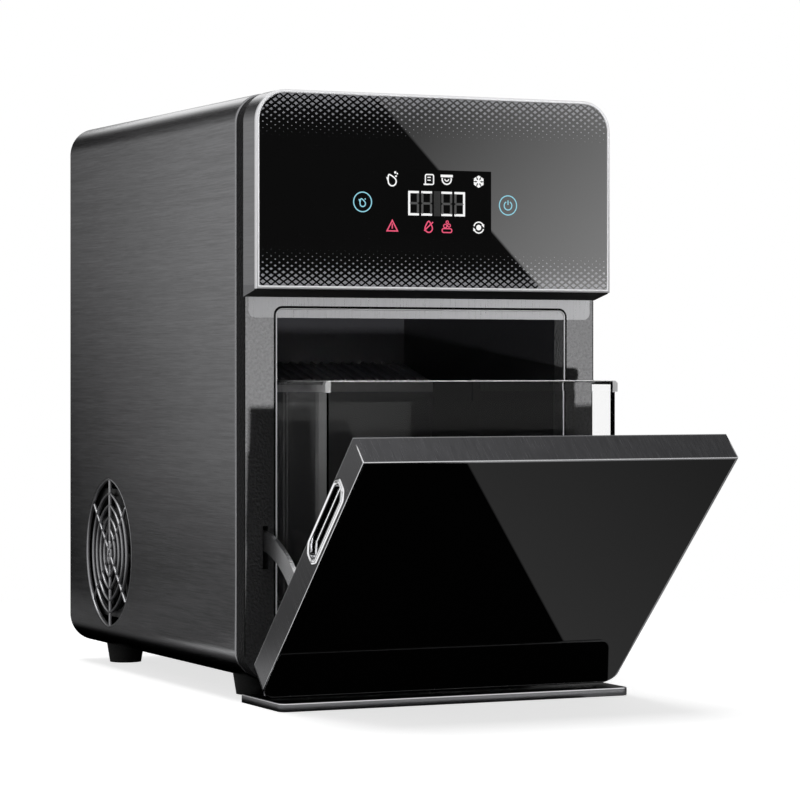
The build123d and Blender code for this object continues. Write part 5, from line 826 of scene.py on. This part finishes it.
# The room behind, as levels against the direction's Z low down and its X higher up. The peak near
# X 0.2 is a strip light, which draws the highlight along the wrapper's top corner.
PEAK = 5.0
behind_low = ((-1.0, 0.3), (-0.1, 0.3), (-0.03, 0.5), (0.01, 0.66), (0.04, 0.72), (0.08, 0.74),
              (1.0, 0.74))
behind_high = ((-1.0, 0.74), (-0.373, 0.68), (-0.329, 0.42), (-0.268, 0.16), (-0.19, 0.05),
               (-0.1, 0.06), (0.004, 0.34), (0.06, 0.9), (0.122, 1.5), (0.248, 1.55), (0.3, 0.8),
               (0.361, 0.12), (1.0, 0.1))
graphs = []
for value, stops in ((z, behind_low), (x, behind_high)):
    graph = add(tree, "ValToRGB", {0: add(tree, "MapRange", {"Value": value, "From Min": -1.0})})
    marks = graph.color_ramp.elements
    for number, (at, brightness) in enumerate(stops):
        mark = marks[number] if number < 2 else marks.new((at + 1) / 2)
        mark.position, mark.color = (at + 1) / 2, [brightness / PEAK] * 3 + [1]
    graphs.append(add(tree, "Math", {0: graph, 1: PEAK}, **product))
high = add(tree, "Math", {
    0: add(tree, "MapRange", {"Value": z, "From Min": 0.10, "From Max": 0.19}),
    1: add(tree, "MapRange", {"Value": x, "From Min": -0.1, "From Max": 0.0})}, operation="MAXIMUM")
room = add(tree, "Mix", {0: high, 2: graphs[0], 3: graphs[1]})
# Overhead a broad light that ends at the right.
is_up = add(tree, "MapRange", {"Value": z, "From Min": 0.5, "From Max": 0.6})
overhead = add(tree, "MapRange", {
    "Value": x, "From Min": 0.42, "From Max": 0.48, "To Min": 0.78, "To Max": 0.26})
room = add(tree, "Mix", {0: is_up, 2: room, 3: overhead})
# In front a softbox that stands on the horizon, and at the left a plain white wall.
is_front = add(tree, "MapRange", {"Value": y, "From Min": -0.2, "From Max": -0.5})
softbox = add(tree, "MapRange", {
    "Value": z, "From Min": 0.012, "From Max": 0.024, "To Min": 0.2, "To Max": 1.0})
room = add(tree, "Mix", {0: is_front, 2: room, 3: softbox})
is_left = add(tree, "MapRange", {"Value": x, "From Min": -0.65, "From Max": -0.85})
room = add(tree, "Mix", {0: is_left, 2: room, 3: 0.95})
# In the softbox stands a window for the header's glass to mirror: dark left of a slanting edge,
# and brightening towards the lower right beyond it.
edge = add(tree, "VectorMath", {0: toward, 1: (0.66667, 0.36280, 0.65110)}, operation="DOT_PRODUCT")
edge = add(tree, "MapRange", {"Value": edge, "From Min": -0.0004, "From Max": 0.0004})
rise = add(tree, "VectorMath", {0: toward, 1: (39.15, 0, -31.93)}, operation="DOT_PRODUCT")
rise = add(tree, "MapRange", {
    "Value": rise, "From Min": 13.9, "From Max": 17.9, "To Min": 1.0, "To Max": 5.0})
window_level = add(tree, "Mix", {0: edge, 2: 0.06, 3: rise})
in_window = 1.0
for value, start, end in ((x, 0.33, 0.355), (x, 0.60, 0.53), (z, 0.012, 0.02), (z, 0.16, 0.12),
                          (y, -0.5, -0.7)):
    limit = add(tree, "MapRange", {"Value": value, "From Min": start, "From Max": end})
    in_window = add(tree, "Math", {0: in_window, 1: limit}, **product)
room = add(tree, "Mix", {0: in_window, 2: room, 3: window_level})
# Dim ambient light for dull surfaces, darker in front than behind, and plain white for the eye.
ambient = add(tree, "MapRange", {
    "Value": y, "From Min": -0.05, "From Max": 0.25, "To Min": 0.02, "To Max": 0.4})
strength = add(tree, "Mix", {0: mirroring, 2: ambient, 3: room})
strength = add(tree, "Mix", {0: seeing, 2: strength, 3: 1.0})
tree.links.new(strength.outputs[0], tree.nodes["Background"].inputs["Strength"])
tree.nodes["Background"].inputs["Color"].default_value = (1, 1, 1, 1)


def lamp(name, place, aim, size, power):
    """Square soft lamp aimed at a point, in metres and watts."""
    data = bpy.data.lights.new(name, "AREA")
    data.size = size
    data.energy = power
    light = bpy.data.objects.new(name, data)
    light.location = place
    light.rotation_euler = (Vector(aim) - Vector(place)).to_track_quat("-Z", "Y").to_euler()
    light.visible_camera = False
    bpy.context.scene.collection.objects.link(light)
    return light


lamp("overhead softbox", (-0.25, 0.0, 3.0), (0, 0, 0), 1.7, 36)
# A small lamp low in front grazes the frame's grain. Metal doesn't mirror it.
low_strip = lamp("low strip", (-0.18, -2.0, 0.02), (-0.1, 0, 0.25), 0.04, 40)
low_strip.visible_glossy = False

# A long lens at the height of the cabinet's middle, turned a little to the right.
EYE, TURN, LENS, SHIFT = (-0.95306, -2.03158, 0.23513), -24.703, 140.37, -0.0389
camera = bpy.data.objects.new("camera", bpy.data.cameras.new("camera"))
camera.data.lens, camera.data.sensor_width, camera.data.shift_y = LENS, 36.0, SHIFT
camera.data.clip_start, camera.data.clip_end = 0.05, 50.0
camera.location = EYE
camera.rotation_euler = (math.radians(90), 0, math.radians(TURN))
bpy.context.scene.collection.objects.link(camera)
bpy.context.scene.camera = camera
bpy.context.scene.view_settings.view_transform = "Standard"
